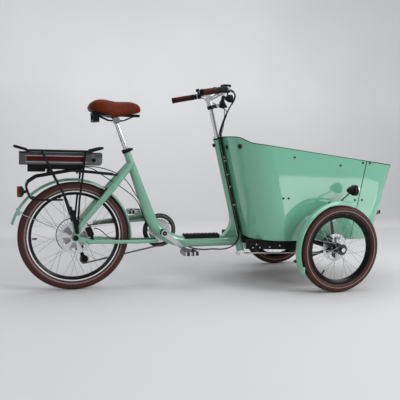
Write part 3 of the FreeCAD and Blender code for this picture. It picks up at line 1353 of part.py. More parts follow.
def edge_profile(lift):
    """Solid above the box's top edge: a raised rear, an S curve, then a straight fall to the front."""
    front_x = box_front_x(BOX_EDGE_FRONT_Z)
    fall = math.tan(math.radians(BOX_EDGE_SLOPE))
    half = BOX_HALF_WIDTH + OVERRUN
    rear_x = box_rear_x(BOX_LOFT_TOP_Z) - OVERRUN
    a = V(box_rear_x(BOX_HUMP_Z) + BOX_HUMP_LENGTH, -half, BOX_HUMP_Z + lift)
    b_x = a.x + BOX_HUMP_RUN
    b = V(b_x, -half, BOX_EDGE_FRONT_Z + (front_x - b_x) * fall + lift)
    far = V(front_x + BOX_WALL * 4, -half, BOX_EDGE_FRONT_Z - BOX_WALL * 4 * fall + lift)
    ceiling = BOX_LOFT_TOP_Z + OVERRUN
    curve = Part.BezierCurve()
    curve.setPoles([a, a + X * (BOX_HUMP_RUN / 2), b + V(-BOX_HUMP_RUN / 2, 0, BOX_HUMP_RUN / 2 * fall), b])
    clear = far + X * (BOX_WALL * 8)
    start = V(rear_x, -half, a.z)
    rest = Part.makePolygon([b, far, clear, V(clear.x, -half, ceiling), V(rear_x, -half, ceiling), start, a])
    edges = [curve.toShape()] + rest.Edges
    return Part.Face(Part.Wire(edges)).extrude(Y * (half * 2))


def seam_x(z):
    return SEAM_FOOT_X + (z - BOX_FLOOR_Z) * math.tan(math.radians(SEAM_LEAN))


def seam_slab(ahead, thickness):
    """Leaning slab across the box, for the strip between the side wall and the front wall."""
    low = BOX_FLOOR_Z - OVERRUN
    high = BOX_LOFT_TOP_Z + OVERRUN
    y = -BOX_HALF_WIDTH - OVERRUN
    corners = [V(seam_x(z) + ahead + dx, y, z)
               for dx, z in ((0, low), (thickness, low), (thickness, high), (0, high))]
    return outline(corners).extrude(Y * (-y * 2))


def make_box():
    wall = box_body(0, BOX_FLOOR_Z, BOX_LOFT_TOP_Z)
    hollow = box_body(BOX_WALL, BOX_FLOOR_Z - OVERRUN, BOX_LOFT_TOP_Z + OVERRUN)
    wall = wall.cut(hollow)
    tub = wall.cut(edge_profile(0))
    edging = wall.common(edge_profile(0)).cut(edge_profile(BOX_EDGE_T))
    length = BOX_FRONT_X - box_rear_x(BOX_LOFT_TOP_Z) + BOX_HALF_WIDTH * 2
    seams = tub.common(seam_slab(0, SEAM_T))
    parts["box_shell"] = tub.cut(seam_slab(0, length))
    parts["box_front"] = tub.common(seam_slab(SEAM_T, length))
    parts["box_trim"] = Part.makeCompound(edging.Solids + seams.Solids)
    floor = box_body(BOX_WALL + SEAT_GAP, BOX_FLOOR_Z, BOX_FLOOR_Z + FLOOR_T)
    parts["box_floor"] = floor
    heads = []
    places = []
    for along, up in SCREW_SHARES:
        z = BOX_FLOOR_Z + (BOX_HUMP_Z - BOX_FLOOR_Z) * up
        flat_x = box_rear_x(z) + BOX_REAR_RADIUS
        places.append((flat_x + (seam_x(z) - flat_x) * along, z))
    for up in SEAM_SCREW_SHARES:
        z = BOX_FLOOR_Z + (BOX_HUMP_Z - BOX_FLOOR_Z) * up
        x = seam_x(z) + SEAM_T / 2
        places += [(x - SEAM_SCREW_PITCH / 2, z), (x + SEAM_SCREW_PITCH / 2, z)]
    for x, z in places:
        for side in SIDES.values():
            heads.append(rod(V(x, side * BOX_HALF_WIDTH, z), Y * side, SCREW_D, SCREW_T))
    parts["box_screws"] = Part.makeCompound(heads)


# Subframe and knuckles

def kingpin(side, up=0):
    return V(WHEELBASE, side * KINGPIN_Y, FRONT_R) + STEER_AXIS * up


def make_axle_frame():
    """Rails under the floor, a cross tube, a neck to the mast and the axle beam with its kingpin tubes."""
    top = BOX_FLOOR_Z - SEAT_GAP
    low = top - RAIL_HEIGHT
    pieces = []
    for side in SIDES.values():
        y = side * RAIL_Y
        half = RAIL_WIDTH / 2
        pieces.append(block(V(RAIL_REAR_X, y - half, low), V(RAIL_FRONT_X, y + half, top)))
        tube_end = kingpin(side, -KINGPIN_TUBE_LENGTH / 2)
        pieces.append(rod(tube_end, STEER_AXIS, KINGPIN_TUBE_D, KINGPIN_TUBE_LENGTH))
        brace = [V(WHEELBASE + CROSS_LENGTH * 2, y, low + RAIL_HEIGHT / 2),
                 V(WHEELBASE, side * CROSS_HALF, FRONT_R)]
        pieces.append(rod_between(brace[0], brace[1], AXLE_BEAM_D * 0.6))
    for x in (RAIL_REAR_X, RAIL_FRONT_X - CROSS_LENGTH):
        pieces.append(block(V(x, -RAIL_Y, low), V(x + CROSS_LENGTH, RAIL_Y, top)))
    neck_x = box_rear_x(low) - MAST_D / 2
    neck = block(V(neck_x, -NECK_WIDTH / 2, low - RAIL_HEIGHT),
                 V(RAIL_REAR_X + CROSS_LENGTH, NECK_WIDTH / 2, top))
    pieces.append(neck.cut(rod(MAST_BASE, STEER_AXIS, MAST_D + SEAT_GAP * 2, MAST_LENGTH)))
    pieces.append(rod(V(WHEELBASE, -KINGPIN_Y, FRONT_R), Y, AXLE_BEAM_D, KINGPIN_Y * 2))
    whole = join(pieces)
    for side in SIDES.values():
        bore = rod(kingpin(side, -KINGPIN_TUBE_LENGTH), STEER_AXIS, KINGPIN_D + RUN_GAP * 2,
                   KINGPIN_TUBE_LENGTH * 2)
        outboard = block(V(WHEELBASE - AXLE_BEAM_D, 0, FRONT_R - AXLE_BEAM_D),
                         V(WHEELBASE + AXLE_BEAM_D, AXLE_BEAM_D, FRONT_R + AXLE_BEAM_D))
        outboard.translate(Y * (side * KINGPIN_Y if side > 0 else -KINGPIN_Y - AXLE_BEAM_D))
        outboard = outboard.cut(rod(kingpin(side, -KINGPIN_TUBE_LENGTH), STEER_AXIS, KINGPIN_TUBE_D,
                                    KINGPIN_TUBE_LENGTH * 2))
        whole = whole.cut(bore).cut(outboard)
    parts["axle_frame"] = whole


def plate_inner_y(side):
    disc = side * (HALF_TRACK - FRONT_DISC_OFFSET)
    return disc - side * (DISC_T / 2 + KNUCKLE_PLATE_GAP + KNUCKLE_PLATE_T)


def arm_bar(start, end, up, width, thickness):
    """Flat arm with round ends lying square to the steering axis."""
    along = (end - start).normalize()
    side = along.cross(up) * (width / 2)
    back = along * (width / 2)
    edges = [
        Part.LineSegment(start + side, end + side).toShape(),
        Part.Arc(end + side, end + back, end - side).toShape(),
        Part.LineSegment(end - side, start - side).toShape(),
        Part.Arc(start - side, start - back, start + side).toShape()]
    return Part.Face(Part.Wire(edges)).extrude(up * thickness)


def low_ear(side):
    """Underside of the lower ear, on the kingpin axis."""
    return kingpin(side, -KINGPIN_TUBE_LENGTH / 2 - EAR_GAP - EAR_T)


def link_joint(side):
    return low_ear(side) + Y * LINK_ARM


def tie_back():
    return STEER_AXIS.cross(Y) * TIE_ARM


def stud(at):
    return rod(at + STEER_AXIS * EAR_T, -STEER_AXIS, STUD_D, STUD_LENGTH)


def rod_end_at(joint):
    return joint - STEER_AXIS * (ROD_LIFT + LINK_EYE_T)


def link_rod(a, b):
    """Rod with an eye at each end that turns on a stud."""
    pieces = []
    for end in (a, b):
        pieces.append(rod(rod_end_at(end), STEER_AXIS, LINK_EYE_D, LINK_EYE_T))
    middle = STEER_AXIS * (LINK_EYE_T / 2)
    pieces.append(rod_between(rod_end_at(a) + middle, rod_end_at(b) + middle, LINK_ROD_D * 0.85))
    whole = join(pieces)
    for end in (a, b):
        whole = whole.cut(rod(rod_end_at(end) - STEER_AXIS * OVERRUN, STEER_AXIS, STUD_D + RUN_GAP * 2,
                              LINK_EYE_T + OVERRUN * 2))
    return whole


def caliper(centre, angle, disc_y, disc_d, low_y):
    """Rounded caliper body with a slot that the disc runs in."""
    radius = disc_d / 2 - DISC_BAND / 2
    at = polar(centre, radius, 0, low_y)
    body = block(V(at.x - CALIPER_DEPTH / 2, low_y, centre.z - CALIPER_LENGTH / 2),
                 V(at.x + CALIPER_DEPTH / 2, low_y + CALIPER_WIDTH, centre.z + CALIPER_LENGTH / 2))
    body = body.makeFillet(CALIPER_ROUND, [e for e in body.Edges if e.BoundBox.YLength > CALIPER_ROUND])
    slot_at = V(centre.x, disc_y - DISC_T / 2 - PAD_GAP, centre.z)
    body = body.cut(rod(slot_at, Y, disc_d + PAD_GAP * 4, DISC_T + PAD_GAP * 2))
    body.rotate(centre, Y, -angle)
    return body


def knuckle(side):
    """C-shaped bracket on the kingpin with the axle, steering arms, caliper lug and fender struts."""
    centre = front_centre(side)
    reach = KINGPIN_TUBE_LENGTH / 2 + EAR_GAP
    pin_foot = kingpin(side, -reach - EAR_T)
    pieces = [rod(pin_foot, STEER_AXIS, KINGPIN_D, (reach + EAR_T) * 2)]
    plate_y = plate_inner_y(side)
    outward = plate_y + side * KNUCKLE_PLATE_T / 2
    for up in (-reach - EAR_T, reach):
        ear_end = kingpin(side, up)
        ear_end = V(ear_end.x, plate_y + side * (KNUCKLE_PLATE_T - EAR_D / 2), ear_end.z)
        pieces.append(arm_bar(kingpin(side, up), ear_end, STEER_AXIS, EAR_D, EAR_T))
    low_y = min(plate_y, plate_y + side * KNUCKLE_PLATE_T)
    plate_low = V(0, 0, 0) + kingpin(side, -reach - EAR_T)
    plate_high = kingpin(side, reach + EAR_T)
    plate = slot_plate(V(plate_low.x, low_y, plate_low.z), V(plate_high.x, low_y, plate_high.z),
                       KNUCKLE_PLATE_WIDTH, low_y, KNUCKLE_PLATE_T)
    pieces.append(plate)
    pieces.append(rod(V(centre.x, outward, centre.z), Y * side, FRONT_AXLE_D,
                      abs(centre.y - outward) + FRONT_AXLE_END))
    nut_y = centre.y + side * (FRONT_HUB_WIDTH / 2 + PAD_GAP / 2)
    pieces.append(rod(V(centre.x, nut_y, centre.z), Y * side, FRONT_NUT_D, FRONT_NUT_T))
    pieces.append(arm_bar(low_ear(side), low_ear(side) - tie_back(), STEER_AXIS, ARM_WIDTH, EAR_T))
    pieces.append(stud(low_ear(side) - tie_back()))
    if side < 0:
        pieces.append(arm_bar(low_ear(side), link_joint(side), STEER_AXIS, ARM_WIDTH, EAR_T))
        pieces.append(stud(link_joint(side)))
    lug = polar(centre, FRONT_DISC_D / 2 - DISC_BAND / 2, FRONT_CALIPER_ANGLE, low_y)
    pieces.append(slot_plate(V(centre.x, low_y, centre.z), lug, CALIPER_DEPTH * 0.8, low_y, KNUCKLE_PLATE_T))
    strut_low = low_y if side < 0 else low_y + KNUCKLE_PLATE_T - STRUT_T
    radius = FRONT_R + FRONT_FENDER_GAP - FENDER_CROWN + FENDER_T / 2
    edge = side * (HALF_TRACK - FRONT_FENDER_WIDTH / 2 - SEAT_GAP)
    for angle in STRUT_ANGLES:
        top = polar(centre, radius, angle, strut_low)
        pieces.append(slot_plate(V(centre.x, strut_low, centre.z), top, STRUT_WIDTH, strut_low, STRUT_T))
        foot_y = strut_low if side > 0 else strut_low + STRUT_T
        pieces.append(rod(V(top.x, foot_y, top.z), Y * side, STRUT_FOOT, abs(edge - foot_y)))
    body = join(pieces)
    disc_y = centre.y - side * FRONT_DISC_OFFSET
    seat = low_y + KNUCKLE_PLATE_T if side > 0 else low_y - CALIPER_WIDTH
    pads = caliper(centre, FRONT_CALIPER_ANGLE, disc_y, FRONT_DISC_D, seat)
    return Part.makeCompound([body, pads])


def make_front_axle():
    make_axle_frame()
    for name, side in SIDES.items():
        parts["knuckle_" + name] = knuckle(side)
        centre = front_centre(side)
        parts["front_fender_" + name] = fender(
            centre, FRONT_R + FRONT_FENDER_GAP, FRONT_FENDER_WIDTH, FENDER_CROWN, FRONT_FENDER_FROM,
            FRONT_FENDER_TO)
    near = low_ear(SIDES["near"]) - tie_back()
    far = low_ear(SIDES["far"]) - tie_back()
    parts["tie_rod"] = link_rod(near, far)
    parts["drag_link"] = link_rod(pitman_joint(), link_joint(SIDES["near"]))
    parts["fender_lamp"] = fender_lamp()


def fender_lamp():
    """Bullet lamp on a bent rod from the near front fender."""
    centre = front_centre(SIDES["near"])
    outer = FRONT_R + FRONT_FENDER_GAP + FENDER_T + LAMP_ARM_D / 2 + SEAT_GAP
    foot = polar(centre, outer, LAMP_ANGLE, centre.y)
    knee = foot + V(LAMP_REACH * 0.6, LAMP_Y_SHIFT * 0.8, LAMP_RISE * 0.55)
    lamp_at = foot + V(LAMP_REACH, LAMP_Y_SHIFT, LAMP_RISE)
    arm = bent_tube([foot, knee, lamp_at], LAMP_ARM_D, LAMP_ARM_D * 2)
    base = rod(polar(centre, outer - LAMP_ARM_D / 2, LAMP_ANGLE, centre.y), foot - centre,
               LAMP_ARM_D * 2, LAMP_ARM_D * 0.6)
    front = lamp_at + X * (LAMP_LENGTH * 0.4)
    barrel = rod(front, -X, LAMP_D, LAMP_LENGTH * 0.4)
    dome = Part.makeCone(LAMP_D / 2, LAMP_D / 5, LAMP_LENGTH * 0.6, front - X * (LAMP_LENGTH * 0.4), -X)
    body = join([arm, base, barrel, dome])
    lens = Part.makeCone(LAMP_D / 2 * 0.92, LAMP_D / 2 * 0.7, LAMP_LENS_T, front, X)
    return Part.makeCompound([body, lens])


# Steering post, stem and handlebar

def pitman_foot():
    return MAST_BASE - STEER_AXIS * (PITMAN_GAP + PITMAN_HEIGHT)


def pitman_joint():
    return pitman_foot() + Y * LINK_ARM


def bar_points(side):
    return [V(BAR_X, 0, BAR_Z), V(BAR_X, side * STEM_CLAMP_WIDTH / 2, BAR_Z),
            V(BAR_SHOULDER_X, side * BAR_SHOULDER_Y, BAR_SHOULDER_Z),
            V(BAR_ELBOW_X, side * BAR_ELBOW_Y, BAR_ELBOW_Z), V(BAR_TIP_X, side * BAR_TIP_Y, BAR_TIP_Z)]


def grip_frame(side):
    """Tip, direction to the tip, sideways and upright directions of a grip."""
    points = bar_points(side)
    along = (points[-1] - points[-2]).normalize()
    out = V(along.y, -along.x, 0).normalize()
    if out.y * side < 0:
        out = -out
    up = along.cross(out).normalize()
    if up.z < 0:
        up = -up
    return points[-1], along, out, up


def make_steering():
    post_foot = pitman_foot()
    post_top = MAST_TOP + STEER_AXIS * STEER_POST_RISE
    post = rod_between(post_foot, post_top, STEER_POST_D)
    hub = rod(post_foot, STEER_AXIS, PITMAN_D, PITMAN_HEIGHT)
    arm = arm_bar(post_foot, pitman_joint(), STEER_AXIS, ARM_WIDTH * 1.4, EAR_T)
    parts["steering_post"] = Part.makeCompound([join([post, hub, arm, stud(pitman_joint())])])
    bar = join([bent_tube(bar_points(side), BAR_D, BAR_BEND) for side in SIDES.values()])
    parts["handlebar"] = bar
    make_stem(post_top, bar)
    make_bar_controls()


def make_stem(post_top, bar):
    """Adjustable stem: a joint on the post's top and an arm to the bar clamp."""
    bar_mid = V(BAR_X, 0, BAR_Z)
    joint = post_top + STEER_AXIS * (STEM_JOINT_D / 4)
    knuckle_body = rod(joint - Y * (STEM_JOINT_WIDTH / 2), Y, STEM_JOINT_D, STEM_JOINT_WIDTH)
    sleeve = rod(post_top - STEER_AXIS * STEM_JOINT_D, STEER_AXIS, STEM_CLAMP_D, STEM_JOINT_D)
    arm = rod_between(joint, bar_mid, STEM_D)
    clamp = rod(bar_mid - Y * (STEM_CLAMP_WIDTH / 2), Y, STEM_CLAMP_D, STEM_CLAMP_WIDTH)
    stem = join([knuckle_body, sleeve, arm, clamp])
    socket = rod(post_top - STEER_AXIS * STEM_JOINT_D * 2, STEER_AXIS, STEER_POST_D, STEM_JOINT_D * 2)
    parts["stem"] = stem.cut(bar).cut(socket)


def make_bar_controls():
    grips = []
    controls = []
    for name, side in SIDES.items():
        tip, along, out, up = grip_frame(side)
        inner = tip - along * GRIP_LENGTH
        sleeve = ring(inner, along, GRIP_D, BAR_D + PRESS_GAP * 2, GRIP_LENGTH)
        sleeve = sleeve.makeFillet(CONTROL_ROUND * 0.6, [e for e in sleeve.Edges if e.Length > GRIP_D * 3])
        grips.append(sleeve)
        grips.append(rod(tip, along, GRIP_CAP_D, GRIP_CAP * 0.4))
        perch_at = inner - along * (PERCH_WIDTH + PAD_GAP)
        perch = rod(perch_at, along, PERCH_D, PERCH_WIDTH)
        bore = rod(perch_at - along * OVERRUN, along, BAR_D + PRESS_GAP * 2, PERCH_WIDTH + OVERRUN * 2)
        pivot = lever_pin(side)
        arm_start = perch_at + along * (PERCH_WIDTH / 2) + out * (PERCH_D / 2 - PAD_GAP) - up * (PERCH_T / 2)
        horn = arm_bar(arm_start, pivot - up * (PERCH_T / 2), up, PERCH_T * 1.2, PERCH_T)
        fork = rod(pivot - up * (BRAKE_LEVER_T / 2 + SEAT_GAP), up, BRAKE_LEVER_ROOT + PAD_GAP * 9,
                   BRAKE_LEVER_T + SEAT_GAP * 2)
        pin = rod(pivot - up * (PERCH_T / 2 + PAD_GAP), up, LEVER_PIN_D, PERCH_T + PAD_GAP * 2)
        controls.append(join([perch, horn.cut(fork), pin]).cut(bore))
        parts["brake_lever_" + name] = brake_lever(side)
    parts["grips"] = Part.makeCompound(grips)
    controls += [bell(), display(), stem_lamp()]
    parts["bar_controls"] = Part.makeCompound(controls)


def lever_pin(side):
    tip, along, out, _ = grip_frame(side)
    return tip - along * (GRIP_LENGTH + PERCH_WIDTH / 2 + PAD_GAP) + out * PERCH_REACH


def brake_lever(side):
    """Tapered blade that runs beside the grip and turns on the perch's pin."""
    _, along, out, up = grip_frame(side)
    pivot = lever_pin(side)
    low = pivot - up * (BRAKE_LEVER_T / 2)
    end = low + along * BRAKE_LEVER_LENGTH + out * BRAKE_LEVER_FLARE
    root = BRAKE_LEVER_ROOT / 2
    slim = BRAKE_LEVER_TIP / 2
    knee = low + along * (BRAKE_LEVER_LENGTH * 0.4) + out * (BRAKE_LEVER_FLARE * 0.2)
    corners = [low - out * root, knee - out * slim, end - out * slim, end + out * slim, knee + out * slim,
               low + out * root]
    blade = outline(corners).extrude(up * BRAKE_LEVER_T)
    eye = rod(low, up, BRAKE_LEVER_ROOT, BRAKE_LEVER_T)
    knob = rod(end, up, BRAKE_LEVER_TIP * 1.5, BRAKE_LEVER_T)
    lever = join([blade, eye, knob])
    return lever.cut(rod(low - up * OVERRUN, up, LEVER_PIN_D + RUN_GAP * 2, BRAKE_LEVER_T + OVERRUN * 2))


def bar_band(at, along):
    """Clamp band round the bar."""
    low = at - V(along).normalize() * (PERCH_WIDTH / 2)
    return ring(low, along, PERCH_D, BAR_D + PRESS_GAP * 2, PERCH_WIDTH)


def bell():
    """Domed bell clamped to the far side of the bar."""
    a, b = bar_points(1)[1:3]
    at = a + (b - a) * 0.72
    dome_low = at + Z * (BAR_D / 2 + PAD_GAP * 2)
    dome = Part.makeSphere(BELL_D / 2, dome_low, Z, 0, 90)
    above = block(dome_low + V(-BELL_D, -BELL_D, BELL_H * 0.75), dome_low + V(BELL_D, BELL_D, BELL_D))
    dome = dome.cut(above)
    band = bar_band(at, b - a)
    foot = rod(at + Z * (BAR_D / 2 + PAD_GAP), Z, PERCH_WIDTH * 0.6, PAD_GAP * 3)
    return join([dome, band, foot])


def display():
    """Flat display on a short foot above the near side of the bar."""
    a, b = bar_points(-1)[1:3]
    at = a + (b - a) * 0.48
    low = at + V(-DISPLAY_LENGTH / 2, -DISPLAY_WIDTH / 2, BAR_D / 2 + PAD_GAP * 4)
    case = block(low, low + V(DISPLAY_LENGTH, DISPLAY_WIDTH, DISPLAY_T))
    case = case.makeFillet(CONTROL_ROUND, [e for e in case.Edges if e.BoundBox.ZLength > CONTROL_ROUND])
    band = bar_band(at, b - a)
    return join([case, band])


def stem_lamp():
    """Small lamp held in front of the bar's clamp by a bracket."""
    clamp = V(BAR_X, 0, BAR_Z)
    front = clamp + V(STEM_CLAMP_D / 2 + STEM_LAMP_LENGTH, 0, -STEM_CLAMP_D)
    body = rod(front, -X, STEM_LAMP_D, STEM_LAMP_LENGTH * 0.5)
    back_at = front - X * (STEM_LAMP_LENGTH * 0.5)
    back = Part.makeCone(STEM_LAMP_D / 2, STEM_LAMP_D / 4, STEM_LAMP_LENGTH * 0.4, back_at, -X)
    strap = block(front + V(-STEM_LAMP_LENGTH * 0.7, -STEM_D / 4, 0),
                  front + V(-STEM_LAMP_LENGTH * 0.7 + TAIL_ARM_T, STEM_D / 4, STEM_CLAMP_D + TAIL_ARM_T))
    tab = block(clamp + V(STEM_CLAMP_D / 2 - PAD_GAP * 3, -STEM_D / 4, 0),
                clamp + V(STEM_CLAMP_D / 2 + STEM_LAMP_LENGTH * 0.3 + TAIL_ARM_T, STEM_D / 4, TAIL_ARM_T))
    whole = join([body, back, strap, tab])
    seat = rod(clamp - Y * STEM_CLAMP_WIDTH, Y, STEM_CLAMP_D + PRESS_GAP * 2, STEM_CLAMP_WIDTH * 2)
    return whole.cut(seat)


# Rear caliper and cables

def make_rear_caliper():
    low_y = REAR_DISC_Y - CALIPER_WIDTH / 2
    body = caliper(REAR_CENTRE, REAR_CALIPER_ANGLE, REAR_DISC_Y, REAR_DISC_D, low_y)
    centre = polar(REAR_CENTRE, REAR_DISC_D / 2, REAR_CALIPER_ANGLE)
    seat = V(centre.x + STRUT_WIDTH / 2, 0, CHAIN_STAY_REAR_Z)
    strap = slot_plate(centre, seat, STRUT_WIDTH, low_y, STRUT_T)
    parts["rear_caliper"] = join([body, strap]).cut(parts["frame"])


def make_cables():
    route = [V(*point) for point in BAR_CABLE_ROUTE]
    parts["handlebar_cables"] = bent_tube(route, CABLE_D)
    route = [V(*point) for point in MAST_CABLE_ROUTE]
    cable = bent_tube(route, CABLE_D).cut(parts["frame"])
    parts["frame_cables"] = Part.makeCompound([cable] + [cable_clip(share, route) for share in CLIP_SHARES])
    for name, points in (("handlebar", BAR_CABLE_ROUTE), ("frame", MAST_CABLE_ROUTE)):
        print(name, "cable radii", cord_radii([V(*point) for point in points]))


def cable_clip(share, route):
    """Ring round the cable that reaches to the mast's side, at a share of the mast's height."""
    z = MAST_BASE_Z + (MAST_TOP.z - MAST_BASE_Z) * share
    for above, below in zip(route, route[1:]):
        if above.z >= z >= below.z:
            at = above + (below - above) * ((above.z - z) / (above.z - below.z))
            axis = (below - above).normalize()
            break
    from_axis = at - MAST_BASE
    reach = (from_axis - STEER_AXIS * from_axis.dot(STEER_AXIS)).Length
    outer = (reach - MAST_D / 2 - SEAT_GAP) * 2
    return ring(at - axis * (CLIP_LENGTH / 2), axis, outer, CABLE_D + SEAT_GAP * 2, CLIP_LENGTH)


def cord_radii(points):
    radii = []
    for before, corner, after in zip(points, points[1:], points[2:]):
        half_turn = (math.pi - (before - corner).getAngle(after - corner)) / 2
        shorter = min((corner - before).Length, (after - corner).Length)
        radii.append(round(0.45 * shorter / math.tan(half_turn)))
    return radii


# Assembly

def main():
    os.makedirs("parts", exist_ok=True)
    make_wheels()
    make_frame()
    make_seat()
    make_rear_fender()
    make_rack()
    make_chain()
    make_freewheel()
    make_derailleur()
    make_crankset()
    make_chainring()
    make_chain_guard()
    make_box()
    make_front_axle()
    make_steering()
    make_rear_caliper()
    make_cables()
    boxes = [shape.optimalBoundingBox() for shape in parts.values()]
    low = min(box.XMin for box in boxes)
    high = max(box.XMax for box in boxes)
    floor = min(box.ZMin for box in boxes)
    shift = V(-(low + high) / 2, 0, -floor)
    for name, shape in parts.items():
        shape.translate(shift)
        shape.exportStep("parts/" + name + ".step")
    print("shift", shift, "nodes", len(parts))
    return shift


SHIFT = main()
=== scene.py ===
import json
import math
from functools import cache

import bmesh
import bpy
from mathutils import Matrix, Vector


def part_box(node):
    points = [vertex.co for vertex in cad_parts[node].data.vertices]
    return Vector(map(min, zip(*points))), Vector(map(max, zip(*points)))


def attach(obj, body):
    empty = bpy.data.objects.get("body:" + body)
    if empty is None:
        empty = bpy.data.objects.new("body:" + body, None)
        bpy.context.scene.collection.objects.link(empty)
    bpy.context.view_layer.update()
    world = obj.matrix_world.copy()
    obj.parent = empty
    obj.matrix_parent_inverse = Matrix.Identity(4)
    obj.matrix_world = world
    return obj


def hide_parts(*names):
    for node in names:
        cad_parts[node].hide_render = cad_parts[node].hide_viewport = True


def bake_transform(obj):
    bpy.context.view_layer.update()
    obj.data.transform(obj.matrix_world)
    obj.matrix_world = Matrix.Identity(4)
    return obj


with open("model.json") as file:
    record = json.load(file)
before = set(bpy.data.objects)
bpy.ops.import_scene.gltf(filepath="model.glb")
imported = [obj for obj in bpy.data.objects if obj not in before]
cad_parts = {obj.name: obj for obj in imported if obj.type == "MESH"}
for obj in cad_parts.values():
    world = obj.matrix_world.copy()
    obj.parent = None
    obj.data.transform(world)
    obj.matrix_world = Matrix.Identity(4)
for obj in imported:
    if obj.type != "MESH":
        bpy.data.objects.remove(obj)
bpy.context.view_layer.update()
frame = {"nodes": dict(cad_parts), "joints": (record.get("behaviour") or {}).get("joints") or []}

SCENE = bpy.context.scene
NODES = frame["nodes"]
JOINTS = {joint["name"]: joint for joint in frame["joints"]}
NEAR, FAR = -1, 1
SIDES = {"near": NEAR, "far": FAR}
AHEAD = Vector((1, 0, 0))
UP = Vector((0, 0, 1))
TO_NEAR = Vector((0, NEAR, 0))
TO_FAR = Vector((0, FAR, 0))


def middle(node):
    """Centre of a node's box."""
    low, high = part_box(node)
    return (low + high) / 2


# Places read from the frame
REAR_AXLE = middle("rear_tyre")
FRONT_NEAR = middle("front_tyre_near")
FRONT_FAR = middle("front_tyre_far")
CRANK = Vector(JOINTS["crank_spin"]["pos_m"])
REAR_R = REAR_AXLE.z
FRONT_R = FRONT_NEAR.z


def place(x, y, z):
    """A place measured from the ground under the rear axle."""
    return Vector((x + REAR_AXLE.x, y, z))


def on_side(side, x, out, z):
    """A place like that, with its distance out to the near or far side."""
    return place(x, side * out, z)


def sideways(distance):
    return Vector((0, distance, 0))


def about_axle(degrees):
    """Direction out from an axle that lies along Y."""
    angle = math.radians(degrees)
    return Vector((math.cos(angle), 0, math.sin(angle)))


# Camera of the photograph, 400 pixels wide
FOCAL_PX = 534.3
IMAGE_PX = 400.0
SENSOR_MM = 36.0
CAMERA_AT = place(-0.287, -2.999, 0.802)
CAMERA_YAW = -0.327
CAMERA_PITCH = -0.096
CAMERA_ROLL = 0.026

# Cable routes of the part's source, in millimetres
CABLE_D = 0.008
BAR_CABLE_ROUTE = [
    (867, -75, 1146), (888, -75, 1142), (904, -74, 1120), (899, -72, 1088), (879, -68, 1052),
    (859, -61, 1008), (844, -52, 962), (833, -42, 914), (832, -32.5, 882), (841.87, -31.5, 845.5)]
MAST_CABLE_ROUTE = [
    (842, -31.5, 845), (852, -31.5, 806), (861, -31.8, 765), (876, -31.5, 704), (892, -31.8, 643),
    (907, -31.5, 582), (923, -31.8, 521), (938, -31.5, 460), (953, -31.8, 404), (966, -32, 352),
    (974, -35, 304), (968, -40, 262), (946, -42, 228), (908, -40, 208), (858, -35, 201), (806, -30, 206),
    (754, -27, 202), (710, -24, 207), (676, -19, 214), (656, -14, 224)]

# Thin cables that only the scene has: diameter, the body at the upper end, and the route in millimetres
THIN_CABLES = {
    "lamp_cable": (0.004, "steering", [
        (866, 0, 1086), (865.5, -2, 1060), (868, -5, 1010), (866, -8, 960), (858, -9, 915), (848, -9, 885),
        (842, -8, 866)]),
    "axle_cable": (0.006, "frame", [
        (962, -40, 372), (968, -42, 345), (982, -46, 300), (1004, -52, 262), (1040, -60, 240),
        (1085, -76, 234), (1128, -100, 240), (1162, -122, 256)]),
    "brake_hose": (0.005, "frame", [
        (99, -56, 349), (118, -58, 350), (145, -60, 332), (172, -59.5, 303), (205, -56, 287),
        (300, -44.3, 281.5), (400, -33.3, 279.5), (455, -30, 278)]),
    "dock_cable_low": (0.005, "frame", [
        (45.5, -30, 685), (75, -30, 684), (115, -28, 665), (160, -22, 632), (215, -16, 602),
        (275, -12, 560), (322, -12, 526), (349, -12, 493), (370.2, -12, 452), (386, -12, 405),
        (404, -12, 367), (429, -12, 333)]),
    "dock_cable_high": (0.005, "frame", [
        (45.5, -10, 688), (90, -10, 689), (150, -9, 680), (220, -8, 658), (272, -8, 626), (306, -8, 586),
        (330, -8, 545), (355.3, -8, 507)]),
    "brake_cable_near": (0.005, "steering", [
        (781, -238, 1122), (806, -234, 1119), (842, -206, 1116), (873, -158, 1110), (890, -112, 1094),
        (888, -86, 1070), (870, -75, 1042), (852, -67, 1004), (837, -58, 960), (826.2, -47, 914),
        (824.5, -35, 884), (828.5, -31, 858), (836.2, -28, 812), (858.6, -28.2, 725), (884.3, -28, 625),
        (910, -28.2, 525), (933.1, -28, 435), (953.6, -28.2, 355), (965.2, -27, 312), (972, -24, 288)]),
    "brake_cable_far": (0.005, "steering", [
        (781, 238, 1122), (806, 234, 1118), (846, 206, 1100), (878, 150, 1072), (893, 86, 1050),
        (889, 24, 1034), (878, -22, 1016), (861, -48, 988), (848, -43.5, 952), (840, -36, 915),
        (841.5, -30, 890), (849, -26.8, 862)])}

# Colours, as light
GREEN = (0.155, 0.455, 0.31)
FRAME_GREEN = (0.17, 0.395, 0.285)
TRIM_GREEN = (0.05, 0.14, 0.1)
BLACK = (0.0035, 0.0035, 0.004)
BLACK_WORN = (0.006, 0.006, 0.0063)
RUBBER = (0.006, 0.006, 0.006)
RUBBER_WORN = (0.016, 0.016, 0.015)
SCREW_GREY = (0.05, 0.05, 0.052)
SCREW_WORN = (0.02, 0.02, 0.021)
TYRE_BROWN = (0.062, 0.02, 0.018)
TYRE_LINE = (0.5, 0.38, 0.36)
STEEL = (0.62, 0.63, 0.64)
CHAIN_GREY = (0.2, 0.19, 0.18)
CHAIN_OIL = (0.05, 0.045, 0.04)
ALLOY = (0.7, 0.71, 0.72)
CHROME = (0.86, 0.87, 0.88)
LEATHER = (0.115, 0.018, 0.0045)
GRIP_BROWN = (0.062, 0.0105, 0.005)
BATTERY_GREY = (0.15, 0.152, 0.155)
RED = (0.075, 0.003, 0.005)
TAIL_RED = (0.25, 0.006, 0.008)
LENS_GREY = (0.75, 0.77, 0.78)
LENS_DARK = (0.35, 0.36, 0.37)
SCREEN = (0.02, 0.025, 0.028)
